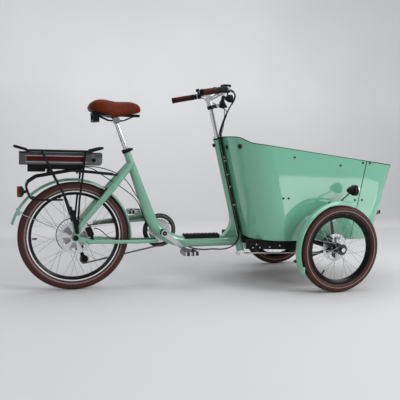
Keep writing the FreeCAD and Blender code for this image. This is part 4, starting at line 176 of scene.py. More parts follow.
SCREEN_SHEEN = (0.05, 0.06, 0.06)
PLY = (0.3, 0.2, 0.11)
FLOOR_GREY = (0.63, 0.63, 0.635)
WALL_GREY = (0.92, 0.925, 0.94)
SKY = (0.96, 0.97, 1.0)

# Where finishes change over a node's surface
RIM_TRACK_R = 0.2458
RIM_EDGE_R = 0.2522
DISC_BORE_R = 0.0222
REAR_DISC_IN = -0.0505
FRONT_DISC_OUT = abs(FRONT_NEAR.y) - 0.0465
AXLE_BARE_OUT = abs(FRONT_NEAR.y) + 0.0325
GUARD_RING_R = 0.07
TRIM_PAINTED_X = (place(1.0, 0, 0).x, place(1.66, 0, 0).x)
GRIP_CAP_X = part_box("grips")[0].x + 0.016
GRIP_COLLAR_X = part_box("grips")[1].x - 0.030
BATTERY_CAP_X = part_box("battery")[1].x - 0.062
# The battery's rear end, up to here, carries painted shade
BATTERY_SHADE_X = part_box("battery")[0].x + 0.030
TAIL_LENS_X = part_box("tail_light")[0].x + 0.0125

# Patterns in finishes: pitches, tread, and the tyres' pale lines as depths below the tread
PEDAL_BAR_PITCH = 0.019
PEDAL_BLOCK_PITCH = 0.026
STEP_RIB_PITCH = 0.012
DISC_TURN_PITCH = 0.0012
RIM_TURN_PITCH = 0.0006
TYRE_RIB_PITCH = 0.0028
GRIP_WRAP_PITCH = 0.011
TAIL_RIB_PITCH = 0.004
LENS_RIB_PITCH = 0.005
TREAD_CUTS = 130.0
TREAD_LEAN = 900.0
CROWN_DEPTHS = (0.014, 0.011)
TYRE_LINES = {"front_tyre": [(0.0305, 0.0285)], "rear_tyre": [(0.0395, 0.0376), (0.0345, 0.0335)]}
HARD_COAT_IOR = 1.68

# Mast: its lean, the ways up along it and back from it, and the heights of its cable clips
MAST_LEAN = math.radians(14.4)
MAST_UP = Vector((-math.sin(MAST_LEAN), 0, math.cos(MAST_LEAN)))
MAST_BACK = Vector((-math.cos(MAST_LEAN), 0, -math.sin(MAST_LEAN)))
MAST_CLIPS_Z = (0.752, 0.735, 0.650, 0.578, 0.470)

# Saddle stations from the back: place along, half width, top, and how low the side skirt reaches
SADDLE_STATIONS = [
    (0.070, 0.052, 1.020, 0.998), (0.080, 0.080, 1.036, 0.991), (0.100, 0.102, 1.050, 0.983),
    (0.130, 0.109, 1.0565, 0.974), (0.160, 0.106, 1.0545, 0.966), (0.190, 0.094, 1.0475, 0.958),
    (0.218, 0.077, 1.0435, 0.954), (0.245, 0.061, 1.0455, 0.960), (0.275, 0.046, 1.0495, 0.973),
    (0.305, 0.038, 1.0515, 0.979), (0.332, 0.034, 1.0465, 0.983), (0.352, 0.026, 1.0350, 0.989),
    (0.362, 0.014, 1.0220, 0.999)]
SADDLE_SECTION = [
    (0.90, 0.00), (0.975, 0.14), (1.0, 0.40), (0.965, 0.64), (0.85, 0.84), (0.62, 0.955), (0.30, 0.995)]
SADDLE_MIDDLE = place(0.165, 0, 1.0)
SADDLE_UNDER_Z = 0.9842
SADDLE_VOXEL = 0.004
SADDLE_SHRINK = 0.002
SADDLE_PRESSURE = 4.0
SADDLE_SWELL = 0.006
SADDLE_HELD_BELOW = -0.25
CLOTH_STEPS = 20
CHANNEL_DEPTH = 0.0035
CHANNEL_WIDTH = 0.014
CHANNEL_SHARE = 0.8
CHANNEL_FACING = 0.3
PIPING_RISE = 0.012
PIPING_R = 0.0021
PIPING_POINTS = 96

# Profiles of turned pieces in millimetres: pairs of distance along the axis and radius
LOCK_BARREL = [(0, 10.5), (4, 10.5), (5, 9.5), (5, 6.2), (3.5, 5.8), (3.5, 1)]
FENDER_LENS = [(0, 28.3), (3.5, 27.2), (5.5, 22), (6.4, 12), (6.6, 1)]
FENDER_BEZEL = [(-4, 31.4), (0.5, 31.7), (2.2, 30.6), (1.8, 28.4), (-1, 28.2)]
BAR_LENS = [(-2, 19.5), (0, 19.5), (2.2, 17), (3, 9), (3.2, 1)]
BAR_BEZEL = [(-6, 23.3), (-1, 23.6), (0.5, 22.5), (0.2, 19.5), (-2, 19.3)]
VALVE_STEM = [(0, 6.6), (1.5, 6.6), (2.5, 4), (10, 4), (10.5, 4.8), (25, 4.8), (26, 4), (26, 1)]
AXLE_CAP = [(0, 14.5), (6, 14.5), (12, 12.8), (15.5, 8.5), (16, 1)]
ROTOR_BOLT = [(0, 4.2), (2.6, 4.2), (3.2, 3.6), (3.2, 1.9), (1.4, 1.8), (1.4, 0.4)]
SPIDER_PLATE = [(0.6, 30), (0.3, 34), (0.3, 64), (0.8, 67), (2.2, 67), (2.2, 30)]
SCREW_RECESS = [(-0.2, 3), (0.3, 3), (0.3, 1.2), (0, 0.6)]
BOX_PLUG = [(-4, 13.5), (3, 13.5), (5, 12.5), (6, 9.5), (8.5, 9.5), (9.5, 8), (9.5, 1)]
MAST_KNOB = [(-3, 8), (1, 8), (2, 10.5), (4, 11.8), (8, 11.8), (11, 9), (11.5, 1)]
CLIP_BAND = [(-3.5, 4.7), (-3.5, 5.8), (-2.8, 6.3), (2.8, 6.3), (3.5, 5.8), (3.5, 4.7)]
CLIP_SCREW = [(0, 3.8), (4.5, 3.8), (6, 2.8), (6.2, 0.5)]
TAB_RIVET = [(2, 4.2), (4.2, 3.6), (5, 0.5)]
BAR_SLEEVE = [(0, 1), (0, 15), (2, 16.8), (19, 16.8), (23, 15), (23, 1)]
BELL_BUTTON = [(8, 1), (8, 6), (30, 5.5), (31.5, 12), (39, 12.4), (45, 9.5), (48, 1)]
STEM_BAND = [(0, 13), (0, 18.5), (2, 20), (20, 20), (22, 18.5), (22, 13)]
STEM_BOLT = [(0, 1), (0, 9.5), (3, 9.5), (4.5, 7.5), (4.5, 1)]
RAIL_BOLT = [(-1, 4.4), (2.2, 4.4), (3.2, 3.4), (3.2, 0.6)]
CRANK_CAP = [(-1, 13.5), (2, 13.5), (3.2, 12.2), (3.2, 6.6), (1.2, 6.2), (1.2, 0.5)]
CRANK_BOLT = [(0, 4.2), (2.6, 4.2), (3.4, 3.4), (3.4, 0.5)]

# Plates: size along X, Y and Z, and the round of the edges
KEY_SLOT = (0.0016, 0.001, 0.007, 0.0003)
DISPLAY = (0.034, 0.05, 0.0016, 0.0006)
DISPLAY_KEY = (0.0035, 0.009, 0.002, 0.0007)
HOOK_BACK = (0.016, 0.026, 0.03, 0.003)
HOOK_ARM = (0.03, 0.014, 0.01, 0.003)
HOOK_TIP = (0.007, 0.014, 0.02, 0.003)
FENDER_CLIP = (0.02, 0.005, 0.034, 0.0018)
FENDER_TAB = (0.018, 0.005, 0.03, 0.0016)
PADDLE = (0.03, 0.026, 0.014, 0.004)
STEM_LUG = (0.034, 0.022, 0.019, 0.004)

# Battery trim, with heights as shares of the battery's
STRIPE_RUN = (0.040, 0.340)
STRIPE_MIDDLE = 0.47
STRIPE_TALL = 0.32
STRIPE_THICK = 0.003
STRIPE_ROUND = 0.0012
EDGE_OFFSET = 0.235
EDGE_OVER = 0.016
EDGE_SECTION = (0.0024, 0.0034, 0.0008)
LOCK_BACK = 0.046
LOCK_HEIGHT = 0.42
KEY_SLOT_OUT = 0.0036
VENTS = 5
VENT_BACK = 0.006
VENT_PITCH = 0.0075
VENT_OUT = 0.0002
VENT_HEIGHT = 0.75
VENT_TALL = 0.26
VENT_WIDE = 0.0028
VENT_THICK = 0.0012
SEAM_WIDE = 0.0016
SEAM_OVER = 0.0008
SEAM_SHORT = 0.026
FINE_ROUND = 0.0004

# Lamps and display
FENDER_LAMP_AT = Vector((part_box("fender_lamp")[1].x - 0.0058, FRONT_NEAR.y + 0.030, FRONT_R + 0.3338))
BAR_LAMP_AT = place(0.9199, 0, 1.102)
DISPLAY_AT = place(0.8441, -0.0729, 1.1711)
KEYS_AT = place(0.8249, -0.0729, 1.1712)
KEYS_Y = (-0.017, 0.0, 0.017)

# Wheels: valves as body, axle, radius and angle, then the spoke guard and the rotor's bolts
VALVES = [
    ("rear_wheel", REAR_AXLE, 0.2262, 183.0), ("front_wheel_near", FRONT_NEAR, 0.1757, 232.0),
    ("front_wheel_far", FRONT_FAR, 0.1757, 300.0)]
AXLE_CAP_SEAT = 0.011
GUARD_GAP = 0.0047
HOOP_R = 0.097
HOOP_POINTS = 72
HOOP_WIRE_R = 0.0024
GUARD_ARMS = 6
GUARD_ARM_TURN = 0.3
GUARD_ARM_IN_R = 0.0635
GUARD_ARM_WIRE_R = 0.0016
ROTOR_BOLTS = 6
ROTOR_BOLT_TURN = 0.5
ROTOR_BOLT_R = 0.0165
ROTOR_FACE_Y = -0.054

# Box: plugs as place and the way they face, and hooks as offset and plate
SCREWS_APART = 0.016
BOX_PLUGS = [(0.8652, 0.072, 0.815, -1.0, 0.0), (0.8945, 0.196, 0.820, -0.84, 0.54)]
HOOK_AT = (1.8225, 0.205, 0.434)
HOOK_PLATES = [((0, 0, 0), HOOK_BACK), ((0.016, 0, -0.004), HOOK_ARM), ((0.0275, 0, 0.003), HOOK_TIP)]

# Frame and fenders
MAST_KNOB_AT = place(0.8357, 0, 0.830) + MAST_BACK * 0.0242
CLIP_SCREW_AT = Vector((0.0095, 0.003, 0.002))
FENDER_CENTRE = place(-0.012, 0, REAR_R - 0.012)
FENDER_CLIP_R = 0.322
FENDER_CLIP_OUT = 0.0315
FENDER_CLIP_ANGLE = 152
FENDER_TAB_R = 0.2655
FENDER_TAB_OUT = 0.0305
FENDER_TAB_ANGLE = 203
STAY_BRACKET = [(0.169, 0.058, 0.573), (0.134, 0.0625, 0.528)]
STAY_BRACKET_R = 0.0055

# Bar and stem
BAR_TIP = (0.634, 0.284, 1.098)
BAR_ELBOW = (0.800, 0.212, 1.131)
SLEEVE_START = 0.1525
SLEEVE_MIDDLE = 0.011
BUTTON_WAY = Vector((-0.28, 0.1, 1.0))
PADDLE_OFFSET = Vector((0.006, -0.020, -0.012))
STEM_BAND_AT = place(0.7836, 0, 1.033)
STEM_LUG_AT = place(0.806, 0, 1.052)
STEM_BOLT_AT = place(0.819, -0.0105, 1.058)
BRACKET_MIDDLE = place(0.856, 0, 1.076)
BRACKET_OUTLINE = [
    (0.836, 1.046), (0.860, 1.043), (0.884, 1.048), (0.870, 1.070), (0.862, 1.086), (0.866, 1.116),
    (0.854, 1.118), (0.848, 1.090), (0.840, 1.080)]
BRACKET_SECTIONS = [(-0.015, 0.88), (-0.012, 1.0), (0.012, 1.0), (0.015, 0.88)]

# Rack rims: start and tip of each end, and one half as share of the way, distance out and height
RACK_ENDS = [(-0.250, -0.3125), (0.082, 0.1445)]
RACK_RIM = [(0.0, 0.066, 0.7745), (0.8, 0.066, 0.7882), (0.95, 0.06, 0.7905), (1.0, 0.046, 0.7912)]
RACK_RIM_R = 0.0062

# Rails under the box, with their bolts as share of the way and height, and the cranks' outer faces
RAIL_REAR = (0.955, 0.190)
RAIL_FRONT = (1.290, 0.262)
RAIL_LOW = 0.229
RAIL_TOP = 0.2846
RAIL_WIDTH = 0.025
RAIL_ROUND = 0.003
RAIL_BOLTS_AT = [(0.11, 0.239), (0.23, 0.240), (0.40, 0.243), (0.17, 0.258), (0.57, 0.253)]
CRANK_FACE_OUT = 0.079

# Stage, and lights as name, place, target, width, height and power
STAGE_REACH = 40.0
STAGE_FRONT_Y = -30.0
WALL_Y = 4.2
WALL_TOP = 9.0
WALL_BEND = 1.6
WALL_STEPS = 12
SKY_LEVELS = {"From Min": -0.75, "From Max": 0.1, "To Min": 0.2, "To Max": 0.64}
LIGHTS = [
    ("key", (3.4, -3.4, 3.2), (0.1, 0, 0.5), 2.6, 2.2, 170),
    ("top", (0.2, 0.4, 4.2), (0.1, 0, 0.4), 4.5, 3.0, 80),
    ("left", (-3.6, -2.8, 2.2), (-0.3, 0, 0.5), 1.8, 2.2, 26),
    ("wall_wash", (0.6, 1.5, 0.7), (0.6, 4.2, 1.5), 9.0, 1.0, 16)]
FLOOR_PATCH = ("sunlit_floor", (5.35, -7.4, 0.012), (5.35, -7.4, 1.0), 2.7, 10.8, 200)
FLOOR_PATCH_TURN = (math.pi, 0, 0.5)


# Material building

class Finish:
    """One node material, with short helpers to vary it over the surface. Its roughness is a number, or noise
    with the values at its low and high end."""

    def __init__(self, name, colour, rough, metal=0.0, coat=0.0, shine=0.5, coat_rough=0.06):
        self.material = bpy.data.materials.new(name)
        self.material.use_nodes = True
        self.tree = self.material.node_tree
        self.inputs = self.tree.nodes["Principled BSDF"].inputs
        for socket, value in (
                ("Base Color", (*colour, 1)), ("Metallic", metal), ("Specular IOR Level", shine),
                ("Coat Weight", coat), ("Coat Roughness", coat_rough)):
            self.inputs[socket].default_value = value
        self.coords = self.tree.nodes.new("ShaderNodeTexCoord").outputs
        self.axes = None
        if isinstance(rough, tuple):
            noise, low, high = rough
            rough = self.span(self.field(noise), 0.3, 0.7, low, high)
        self.feed(self.inputs["Roughness"], rough)

    def node(self, kind, **sockets):
        made = self.tree.nodes.new(kind)
        for name, value in sockets.items():
            self.feed(made.inputs[name], value)
        return made

    def feed(self, socket, value):
        if isinstance(value, bpy.types.NodeSocket):
            self.tree.links.new(value, socket)
        else:
            socket.default_value = value

    def math(self, operation, *values):
        made = self.tree.nodes.new("ShaderNodeMath")
        made.operation = operation
        for socket, value in zip(made.inputs, values):
            self.feed(socket, value)
        return made.outputs[0]

    def times(self, first, second):
        return self.math("MULTIPLY", first, second)

    def above(self, value, limit):
        return self.math("GREATER_THAN", value, limit)

    def below(self, value, limit):
        return self.math("LESS_THAN", value, limit)

    def wave(self, value, pitch):
        """Sine that comes round once in each pitch."""
        return self.math("SINE", self.times(value, math.tau / pitch))

    def axis(self, letter):
        if self.axes is None:
            self.axes = self.node("ShaderNodeSeparateXYZ", Vector=self.coords["Object"]).outputs
        return self.axes[letter]

    def noise(self, scale, detail=3.0, stretch=None):
        coords = self.coords["Object"]
        if stretch:
            coords = self.node("ShaderNodeMapping", Vector=coords, Scale=(stretch, 1.0, 1.0)).outputs[0]
        return self.node("ShaderNodeTexNoise", Vector=coords, Scale=scale, Detail=detail).outputs["Fac"]

    def field(self, value):
        """A number stands for noise of that scale, a tuple for its scale, detail and scale along X."""
        if isinstance(value, float):
            value = (value,)
        return self.noise(*value) if isinstance(value, tuple) else value

    def cells(self, scale, feature="F1"):
        made = self.node("ShaderNodeTexVoronoi", Vector=self.coords["Object"], Scale=scale)
        made.feature = feature
        return made.outputs["Distance"]

    def span(self, value, low, high, to_low=0.0, to_high=1.0):
        made = self.node("ShaderNodeMapRange", Value=value)
        for name, number in (("From Min", low), ("From Max", high), ("To Min", to_low), ("To Max", to_high)):
            made.inputs[name].default_value = number
        return made.outputs[0]

    def band(self, value, low, high, soft=0.0004):
        """1 between two limits, 0 outside them."""
        rise = self.span(value, low - soft, low + soft)
        fall = self.span(value, high - soft, high + soft, 1.0, 0.0)
        return self.times(rise, fall)

    def from_axle(self, centre):
        """Distances ahead of and above an axle that lies along Y."""
        x = self.math("SUBTRACT", self.axis("X"), centre.x)
        return x, self.math("SUBTRACT", self.axis("Z"), centre.z)

    def radius(self, centre):
        x, z = self.from_axle(centre)
        return self.math("SQRT", self.math("ADD", self.times(x, x), self.times(z, z)))

    def turn(self, centre):
        """Angle about an axle that lies along Y."""
        x, z = self.from_axle(centre)
        return self.math("ARCTAN2", z, x)

    def side(self, centre_y):
        """Distance to the side of a plane across Y."""
        return self.math("ABSOLUTE", self.math("SUBTRACT", self.axis("Y"), centre_y))

    def over(self, name, mask, value):
        """Lays a value over what a shader socket has, where the mask is 1."""
        socket = self.inputs[name]
        coloured = name == "Base Color"
        made = self.tree.nodes.new("ShaderNodeMix")
        made.data_type = "RGBA" if coloured else "FLOAT"
        before, after, result = (6, 7, 2) if coloured else (2, 3, 0)
        self.feed(made.inputs[0], mask)
        present = socket.links[0].from_socket if socket.is_linked else socket.default_value
        self.feed(made.inputs[before], present)
        self.feed(made.inputs[after], (*value, 1) if coloured else value)
        self.tree.links.new(made.outputs[result], socket)

    def shade(self, mask, colour=None, rough=None, metal=None):
        for name, value in (("Base Color", colour), ("Roughness", rough), ("Metallic", metal)):
            if value is not None:
                self.over(name, mask, value)

    def vary(self, fac, colour, amount):
        """Drifts the colour by a part of another one, to break up flat areas."""
        self.over("Base Color", self.times(self.field(fac), amount), colour)

    def bump(self, height, depth, strength):
        """Raises the surface by a height field, in metres, over any bump it has already."""
        made = self.node("ShaderNodeBump", Height=self.field(height), Distance=depth, Strength=strength)
        socket = self.inputs["Normal"]
        if socket.is_linked:
            self.tree.links.new(socket.links[0].from_socket, made.inputs["Normal"])
        self.tree.links.new(made.outputs[0], socket)


def surface(*shader, **coating):
    """Turns a function that works on a finish into one that makes its material once and shares it."""
    def wrap(work):
        @cache
        def material():
            made = Finish(work.__name__, *shader, **coating)
            work(made)
            return made.material
        return material
    return wrap


def darker(colour, share):
    return tuple(channel * share for channel in colour)


@cache
def green_paint(name, colour):
    """Gloss paint under a hard clear coat."""
    made = Finish(name, colour, 0.36, coat=1.0, coat_rough=0.035)
    made.inputs["Coat IOR"].default_value = HARD_COAT_IOR
    made.vary((7.0, 4.0), darker(colour, 0.82), 0.35)
    made.vary((900.0, 1.0), darker(colour, 1.25), 0.12)
    made.bump((180.0, 1.0), 0.00003, 0.4)
    return made.material


@surface(BLACK, (30.0, 0.3, 0.48), shine=0.2)
def black_paint(made):
    made.vary(60.0, BLACK_WORN, 0.5)
    made.bump((1400.0, 2.0), 0.0001, 0.6)


@surface(BLACK, (45.0, 0.38, 0.58), shine=0.18)
def black_plastic(made):
    made.vary(80.0, BLACK_WORN, 0.6)
    made.bump(made.cells(1800.0), 0.0001, 0.5)


@surface(BLACK, (25.0, 0.1, 0.24), coat=0.15, shine=0.25)
def gloss_black(made):
    made.bump(500.0, 0.00003, 0.3)


@cache
def rubber(name, rib_pitch=None):
    """Black rubber, ribbed along X where a pitch is given."""
    made = Finish(name, RUBBER, (40.0, 0.52, 0.72), shine=0.18)
    made.vary(25.0, RUBBER_WORN, 0.6)
    if rib_pitch:
        made.bump(made.span(made.wave(made.axis("X"), rib_pitch), 0.0, 0.6), 0.0012, 0.9)
    made.bump(1200.0, 0.0001, 0.5)
    return made.material


@surface(RUBBER, (40.0, 0.45, 0.65), shine=0.18)
def trim_edge(made):
    """Black seam strips, with the long top edge painted in a dark shade of the box."""
    made.vary(25.0, RUBBER_WORN, 0.6)
    made.shade(made.band(made.axis("X"), *TRIM_PAINTED_X, 0.03), TRIM_GREEN)
    made.bump(1200.0, 0.0001, 0.5)


@surface(SCREW_GREY, (200.0, 0.28, 0.45), metal=0.8)
def dark_screw(made):
    made.vary(120.0, SCREW_WORN, 0.6)


@surface(ALLOY, (80.0, 0.24, 0.42), metal=1.0)
def pedal(made):
    """Bright cage with dark rubber blocks let into its faces."""
    made.vary(60.0, darker(ALLOY, 0.5), 0.6)
    bars = made.wave(made.axis("Y"), PEDAL_BAR_PITCH)
    made.shade(made.span(bars, -0.35, -0.2), BLACK_WORN, 0.6, 0.0)
    facing = made.node("ShaderNodeSeparateXYZ", Vector=made.coords["Normal"]).outputs
    ends = made.above(made.math("ABSOLUTE", facing["Y"]), 0.7)
    blocks = made.wave(made.axis("X"), PEDAL_BLOCK_PITCH)
    made.shade(ends, ALLOY, 0.4, 1.0)
    made.shade(made.times(ends, made.span(blocks, -0.5, -0.35)), BLACK_WORN, 0.6, 0.0)
    made.bump(made.span(bars, 0.2, 0.5), 0.0006, 0.7)


def brake_disc(made, beside, centre, colour, rough):
    """Bright turned face on the part of a hub that lies beside it and outside its bore."""
    reach = made.radius(centre)
    disc = made.times(beside, made.above(reach, DISC_BORE_R))
    made.shade(disc, colour, rough, 1.0)
    made.bump(made.times(made.wave(reach, DISC_TURN_PITCH), disc), 0.00004, 0.5)


@surface(darker(ALLOY, 0.66), (60.0, 0.26, 0.42), metal=1.0)
def rear_hub(made):
    """Grey motor shell behind a bright brake disc."""
    made.vary(30.0, darker(ALLOY, 0.42), 0.6)
    brake_disc(made, made.below(made.axis("Y"), REAR_DISC_IN), REAR_AXLE, darker(STEEL, 1.2), 0.24)


@surface(BLACK, 0.35, coat=0.3)
def front_hub(made):
    """Black hub shell with a bright brake disc."""
    made.vary(60.0, BLACK_WORN, 0.6)
    brake_disc(made, made.below(made.side(0.0), FRONT_DISC_OUT), FRONT_NEAR, STEEL, 0.26)


@surface(STEEL, (60.0, 0.2, 0.36), metal=1.0)
def steel(made):
    made.vary(20.0, darker(STEEL, 0.6), 0.5)


@surface(CHAIN_GREY, (120.0, 0.28, 0.5), metal=1.0)
def chain_steel(made):
    made.vary(90.0, CHAIN_OIL, 0.8)


@surface(ALLOY, ((50.0, 4.0), 0.24, 0.38), metal=1.0)
def alloy(made):
    made.vary(18.0, darker(ALLOY, 0.75), 0.5)
    made.bump((900.0, 2.0), 0.00005, 0.5)


@surface(CHROME, ((30.0, 4.0), 0.035, 0.11), metal=1.0)
def chrome(made):
    made.vary(12.0, darker(CHROME, 0.85), 0.4)


def tyre(name, centre):
    """Brown rubber: fine ribbed sidewall with pale lines, and a cut tread on the crown."""
    made = Finish(name, TYRE_BROWN, (35.0, 0.46, 0.64), shine=0.3)
    made.vary(14.0, darker(TYRE_BROWN, 0.65), 0.6)
    reach = made.radius(centre)
    for deep, shallow in TYRE_LINES[name]:
        made.shade(made.band(reach, centre.z - deep, centre.z - shallow), TYRE_LINE)
    crown = made.span(reach, *[centre.z - depth for depth in CROWN_DEPTHS])
    made.shade(crown, darker(TYRE_BROWN, 0.8), 0.7)
    lean = made.times(made.side(centre.y), TREAD_LEAN)
    cuts = made.math("SINE", made.math("ADD", made.times(made.turn(centre), TREAD_CUTS), lean))
    made.bump(made.times(made.span(cuts, -0.2, 0.3), crown), 0.0016, 0.8)
    ribs = made.wave(reach, TYRE_RIB_PITCH)
    made.bump(made.times(ribs, made.math("SUBTRACT", 1.0, crown)), 0.00018, 0.5)
    made.bump(700.0, 0.00012, 0.5)
    return made.material


@surface(BLACK, 0.3, shine=0.2)
def rear_rim(made):
    """Black rim with a bright machined track beside the tyre."""
    made.vary(40.0, BLACK_WORN, 0.6)
    reach = made.radius(REAR_AXLE)
    track = made.band(reach, RIM_TRACK_R, RIM_EDGE_R, 0.0002)
    made.shade(track, CHROME, 0.35, 0.25)
    made.bump(made.times(made.wave(reach, RIM_TURN_PITCH), track), 0.00003, 0.4)


@surface(BLACK, (25.0, 0.22, 0.38), shine=0.15)
def front_rim(made):
    made.vary(40.0, BLACK_WORN, 0.6)
    made.bump(500.0, 0.00004, 0.4)


@surface(BLACK, 0.42, coat=0.2)
def knuckle(made):
    """Black steel bracket with a bare axle end."""
    made.vary(60.0, BLACK_WORN, 0.6)
    made.shade(made.above(made.side(0.0), AXLE_BARE_OUT), STEEL, 0.25, 1.0)
    made.bump(1200.0, 0.0001, 0.6)


@surface(ALLOY, 0.3, metal=1.0)
def chainring(made):
    """Bright spider inside a black guard ring."""
    made.vary(50.0, darker(ALLOY, 0.7), 0.5)
    made.shade(made.above(made.radius(CRANK), GUARD_RING_R), BLACK, 0.35, 0.0)
    made.bump(800.0, 0.00005, 0.5)


def leather(name, colour):
    made = Finish(name, colour, ((45.0, 4.0), 0.42, 0.58), shine=0.08)
    made.vary((16.0, 4.0), darker(colour, 0.55), 0.55)
    made.vary(120.0, darker(colour, 1.5), 0.25)
    made.bump(made.cells(420.0, "DISTANCE_TO_EDGE"), 0.0004, 0.55)
    made.bump(1500.0, 0.0001, 0.5)
    return made.material


@surface(GRIP_BROWN, ((45.0, 4.0), 0.42, 0.6), shine=0.12)
def grip(made):
    """Brown sewn grip with a rubber end cap and a rubber collar."""
    made.vary((22.0, 4.0), darker(GRIP_BROWN, 0.5), 0.55)
    along = made.axis("X")
    made.shade(made.below(along, GRIP_CAP_X), RUBBER, 0.6)
    made.shade(made.above(along, GRIP_COLLAR_X), RUBBER, 0.6)
    made.bump(made.cells(500.0, "DISTANCE_TO_EDGE"), 0.0004, 0.5)
    made.bump(made.span(made.wave(along, GRIP_WRAP_PITCH), -1.0, -0.4), 0.0009, 0.8)


@surface(BATTERY_GREY, ((60.0, 2.0, 0.15), 0.28, 0.44), metal=0.75)
def battery_case(made):
    """Grey metal case between a plastic cap and a plastic heel; the heel's darker colour is painted shade."""
    made.vary(9.0, darker(BATTERY_GREY, 0.6), 0.5)
    along = made.axis("X")
    made.shade(made.above(along, BATTERY_CAP_X), darker(BATTERY_GREY, 0.75), 0.45, 0.0)
    # Painted shade: the rear end of the case is darkened to stand in for shade there.
    made.shade(made.below(along, BATTERY_SHADE_X), darker(BATTERY_GREY, 0.4), 0.45, 0.0)
    made.bump((900.0, 2.0, 0.1), 0.00005, 0.5)


@surface(RED, 0.34, coat=0.1, shine=0.15)
def red_panel(made):
    made.vary(30.0, darker(RED, 0.5), 0.6)
    made.bump(900.0, 0.00005, 0.4)


@surface(BLACK, 0.45)
def tail_lamp(made):
    """Black housing with a ribbed red lens at its rear."""
    made.vary(80.0, BLACK_WORN, 0.6)
    glass = made.below(made.axis("X"), TAIL_LENS_X)
    made.shade(glass, TAIL_RED, 0.12)
    made.bump(made.times(made.wave(made.axis("Y"), TAIL_RIB_PITCH), glass), 0.0005, 0.7)


@surface(LENS_GREY, 0.08, metal=0.35, coat=1.0)
def lens(made):
    made.vary(70.0, LENS_DARK, 0.6)
    made.bump(made.wave(made.axis("Y"), LENS_RIB_PITCH), 0.0005, 0.6)


@surface(SCREEN, (40.0, 0.05, 0.13), coat=1.0)
def display_glass(made):
    made.vary(90.0, SCREEN_SHEEN, 0.5)


@surface(PLY, 0.5, coat=0.15)
def plywood(made):
    made.vary((26.0, 5.0, 0.12), darker(PLY, 0.5), 0.8)
    made.bump((160.0, 3.0, 0.06), 0.0002, 0.6)


@surface(FLOOR_GREY, 0.75)
def studio_floor(made):
    made.shade(made.span(made.axis("Z"), 0.0, WALL_BEND), WALL_GREY)
    made.vary((0.6, 2.0), darker(FLOOR_GREY, 0.93), 0.5)


# Mesh building

def merged(meshes):
    """One mesh that holds several."""
    shape = bmesh.new()
    for mesh in meshes:
        shape.from_mesh(mesh)
    whole = bpy.data.meshes.new("whole")
    shape.to_mesh(whole)
    shape.free()
    return whole


def add(name, mesh, body, finish):
    """Makes a piece of one mesh, or of several in a list."""
    if isinstance(mesh, list):
        mesh = merged(mesh)
    mesh.name = name
    made = bpy.data.objects.new(name, mesh)
    SCENE.collection.objects.link(made)
    made.data.materials.append(finish)
    if body:
        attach(made, body)
    return made


def smoothed(mesh, sharp=None):
    """Smooth shading, but not across edges sharper than an angle in degrees where one is given."""
    for face in mesh.polygons:
        face.use_smooth = True
    if sharp:
        mesh.set_sharp_from_angle(angle=math.radians(sharp))
    return mesh


def from_faces(points, faces):
    mesh = bpy.data.meshes.new("piece")
    mesh.from_pydata([tuple(p) for p in points], [], faces)
    return smoothed(mesh)


def loft(rings, wrap=False):
    """Skin over rings of points that all have the same count, closed by end faces or round on itself."""
    count = len(rings[0])
    total = len(rings)
    points = [p for ring in rings for p in ring]
    faces = []
    for i in range(total if wrap else total - 1):
        n = (i + 1) % total
        for j in range(count):
            k = (j + 1) % count
            faces.append((i * count + j, i * count + k, n * count + k, n * count + j))
    if not wrap:
        faces.append(tuple(range(count))[::-1])
        faces.append(tuple((total - 1) * count + j for j in range(count)))
    return from_faces(points, faces)


def frame_at(axis):
    """Two directions square to an axis."""
    axis = axis.normalized()
    guide = UP if abs(axis.z) < 0.9 else AHEAD
    first = axis.cross(guide).normalized()
    return first, axis.cross(first).normalized()


def all_round(first, second, count):
    """Directions that go once round from the first through the second."""
    angles = [math.tau * i / count for i in range(count)]
    return [first * math.cos(angle) + second * math.sin(angle) for angle in angles]


def turned(start, axis, profile, count, ring=False):
    """Solid of revolution, or a ring where the profile closes on itself."""
    axis = axis.normalized()
    ways = all_round(*frame_at(axis), count)
    profile = [(along / 1000, radius / 1000) for along, radius in profile]
    rows = [[start + axis * along + out * radius for out in ways] for along, radius in profile]
    return smoothed(loft(list(zip(*rows)) if ring else rows, ring), sharp=35)


def slab(centre, long, wide, tall, edge):
    """Plate with rounded edges."""
    mesh = bpy.data.meshes.new("plate")
    shape = bmesh.new()
    bmesh.ops.create_cube(shape, size=1.0)
    bmesh.ops.scale(shape, vec=(long, wide, tall), verts=shape.verts)
    bmesh.ops.bevel(shape, geom=shape.edges[:], offset=edge, segments=3, affect="EDGES", profile=0.5)
    bmesh.ops.translate(shape, vec=centre, verts=shape.verts)
    shape.to_mesh(mesh)
    shape.free()
    return smoothed(mesh, sharp=40)


def tube(points, radius, count, wrap=False):
    """Round tube along points."""
    rings = []
    first = None
    total = len(points)
    for i, point in enumerate(points):
        before = points[i - 1] if i or wrap else point
        after = points[(i + 1) % total] if i + 1 < total or wrap else point
        along = (after - before).normalized()
        if first is None:
            first = frame_at(along)[0]
        first = (first - along * first.dot(along)).normalized()
        rings.append([point + out * radius for out in all_round(first, along.cross(first), count)])
    return loft(rings, wrap)


def islands(node, apart):
    """Centres and sizes of a node's small solids, which lie further apart than a set distance."""
    groups = []
    for vertex in NODES[node].data.vertices:
        group = next((group for group in groups if (group[0] - vertex.co).length < apart), None)
        if group is None:
            group = []
            groups.append(group)
        group.append(vertex.co.copy())
    corners = [(Vector([*map(min, *group)]), Vector([*map(max, *group)])) for group in groups]
    return [((low + high) / 2, high - low) for low, high in corners]


# Cords

def spline(route, bevel):
    curve = bpy.data.curves.new("route", "CURVE")
    curve.dimensions = "3D"
    line = curve.splines.new("NURBS")
    line.points.add(len(route) - 1)
    for point, spot in zip(line.points, route):
        point.co = (*place(*[number / 1000 for number in spot]), 1)
    line.order_u = 3
    line.use_endpoint_u = True
    curve.resolution_u = 8
    curve.bevel_depth = bevel
    curve.bevel_resolution = 4
    curve.use_fill_caps = True
    return curve


def sampled(curve):
    """Mesh of a curve."""
    holder = bpy.data.objects.new("sample", curve)
    mesh = bpy.data.meshes.new_from_object(holder)
    bpy.data.objects.remove(holder)
    return mesh


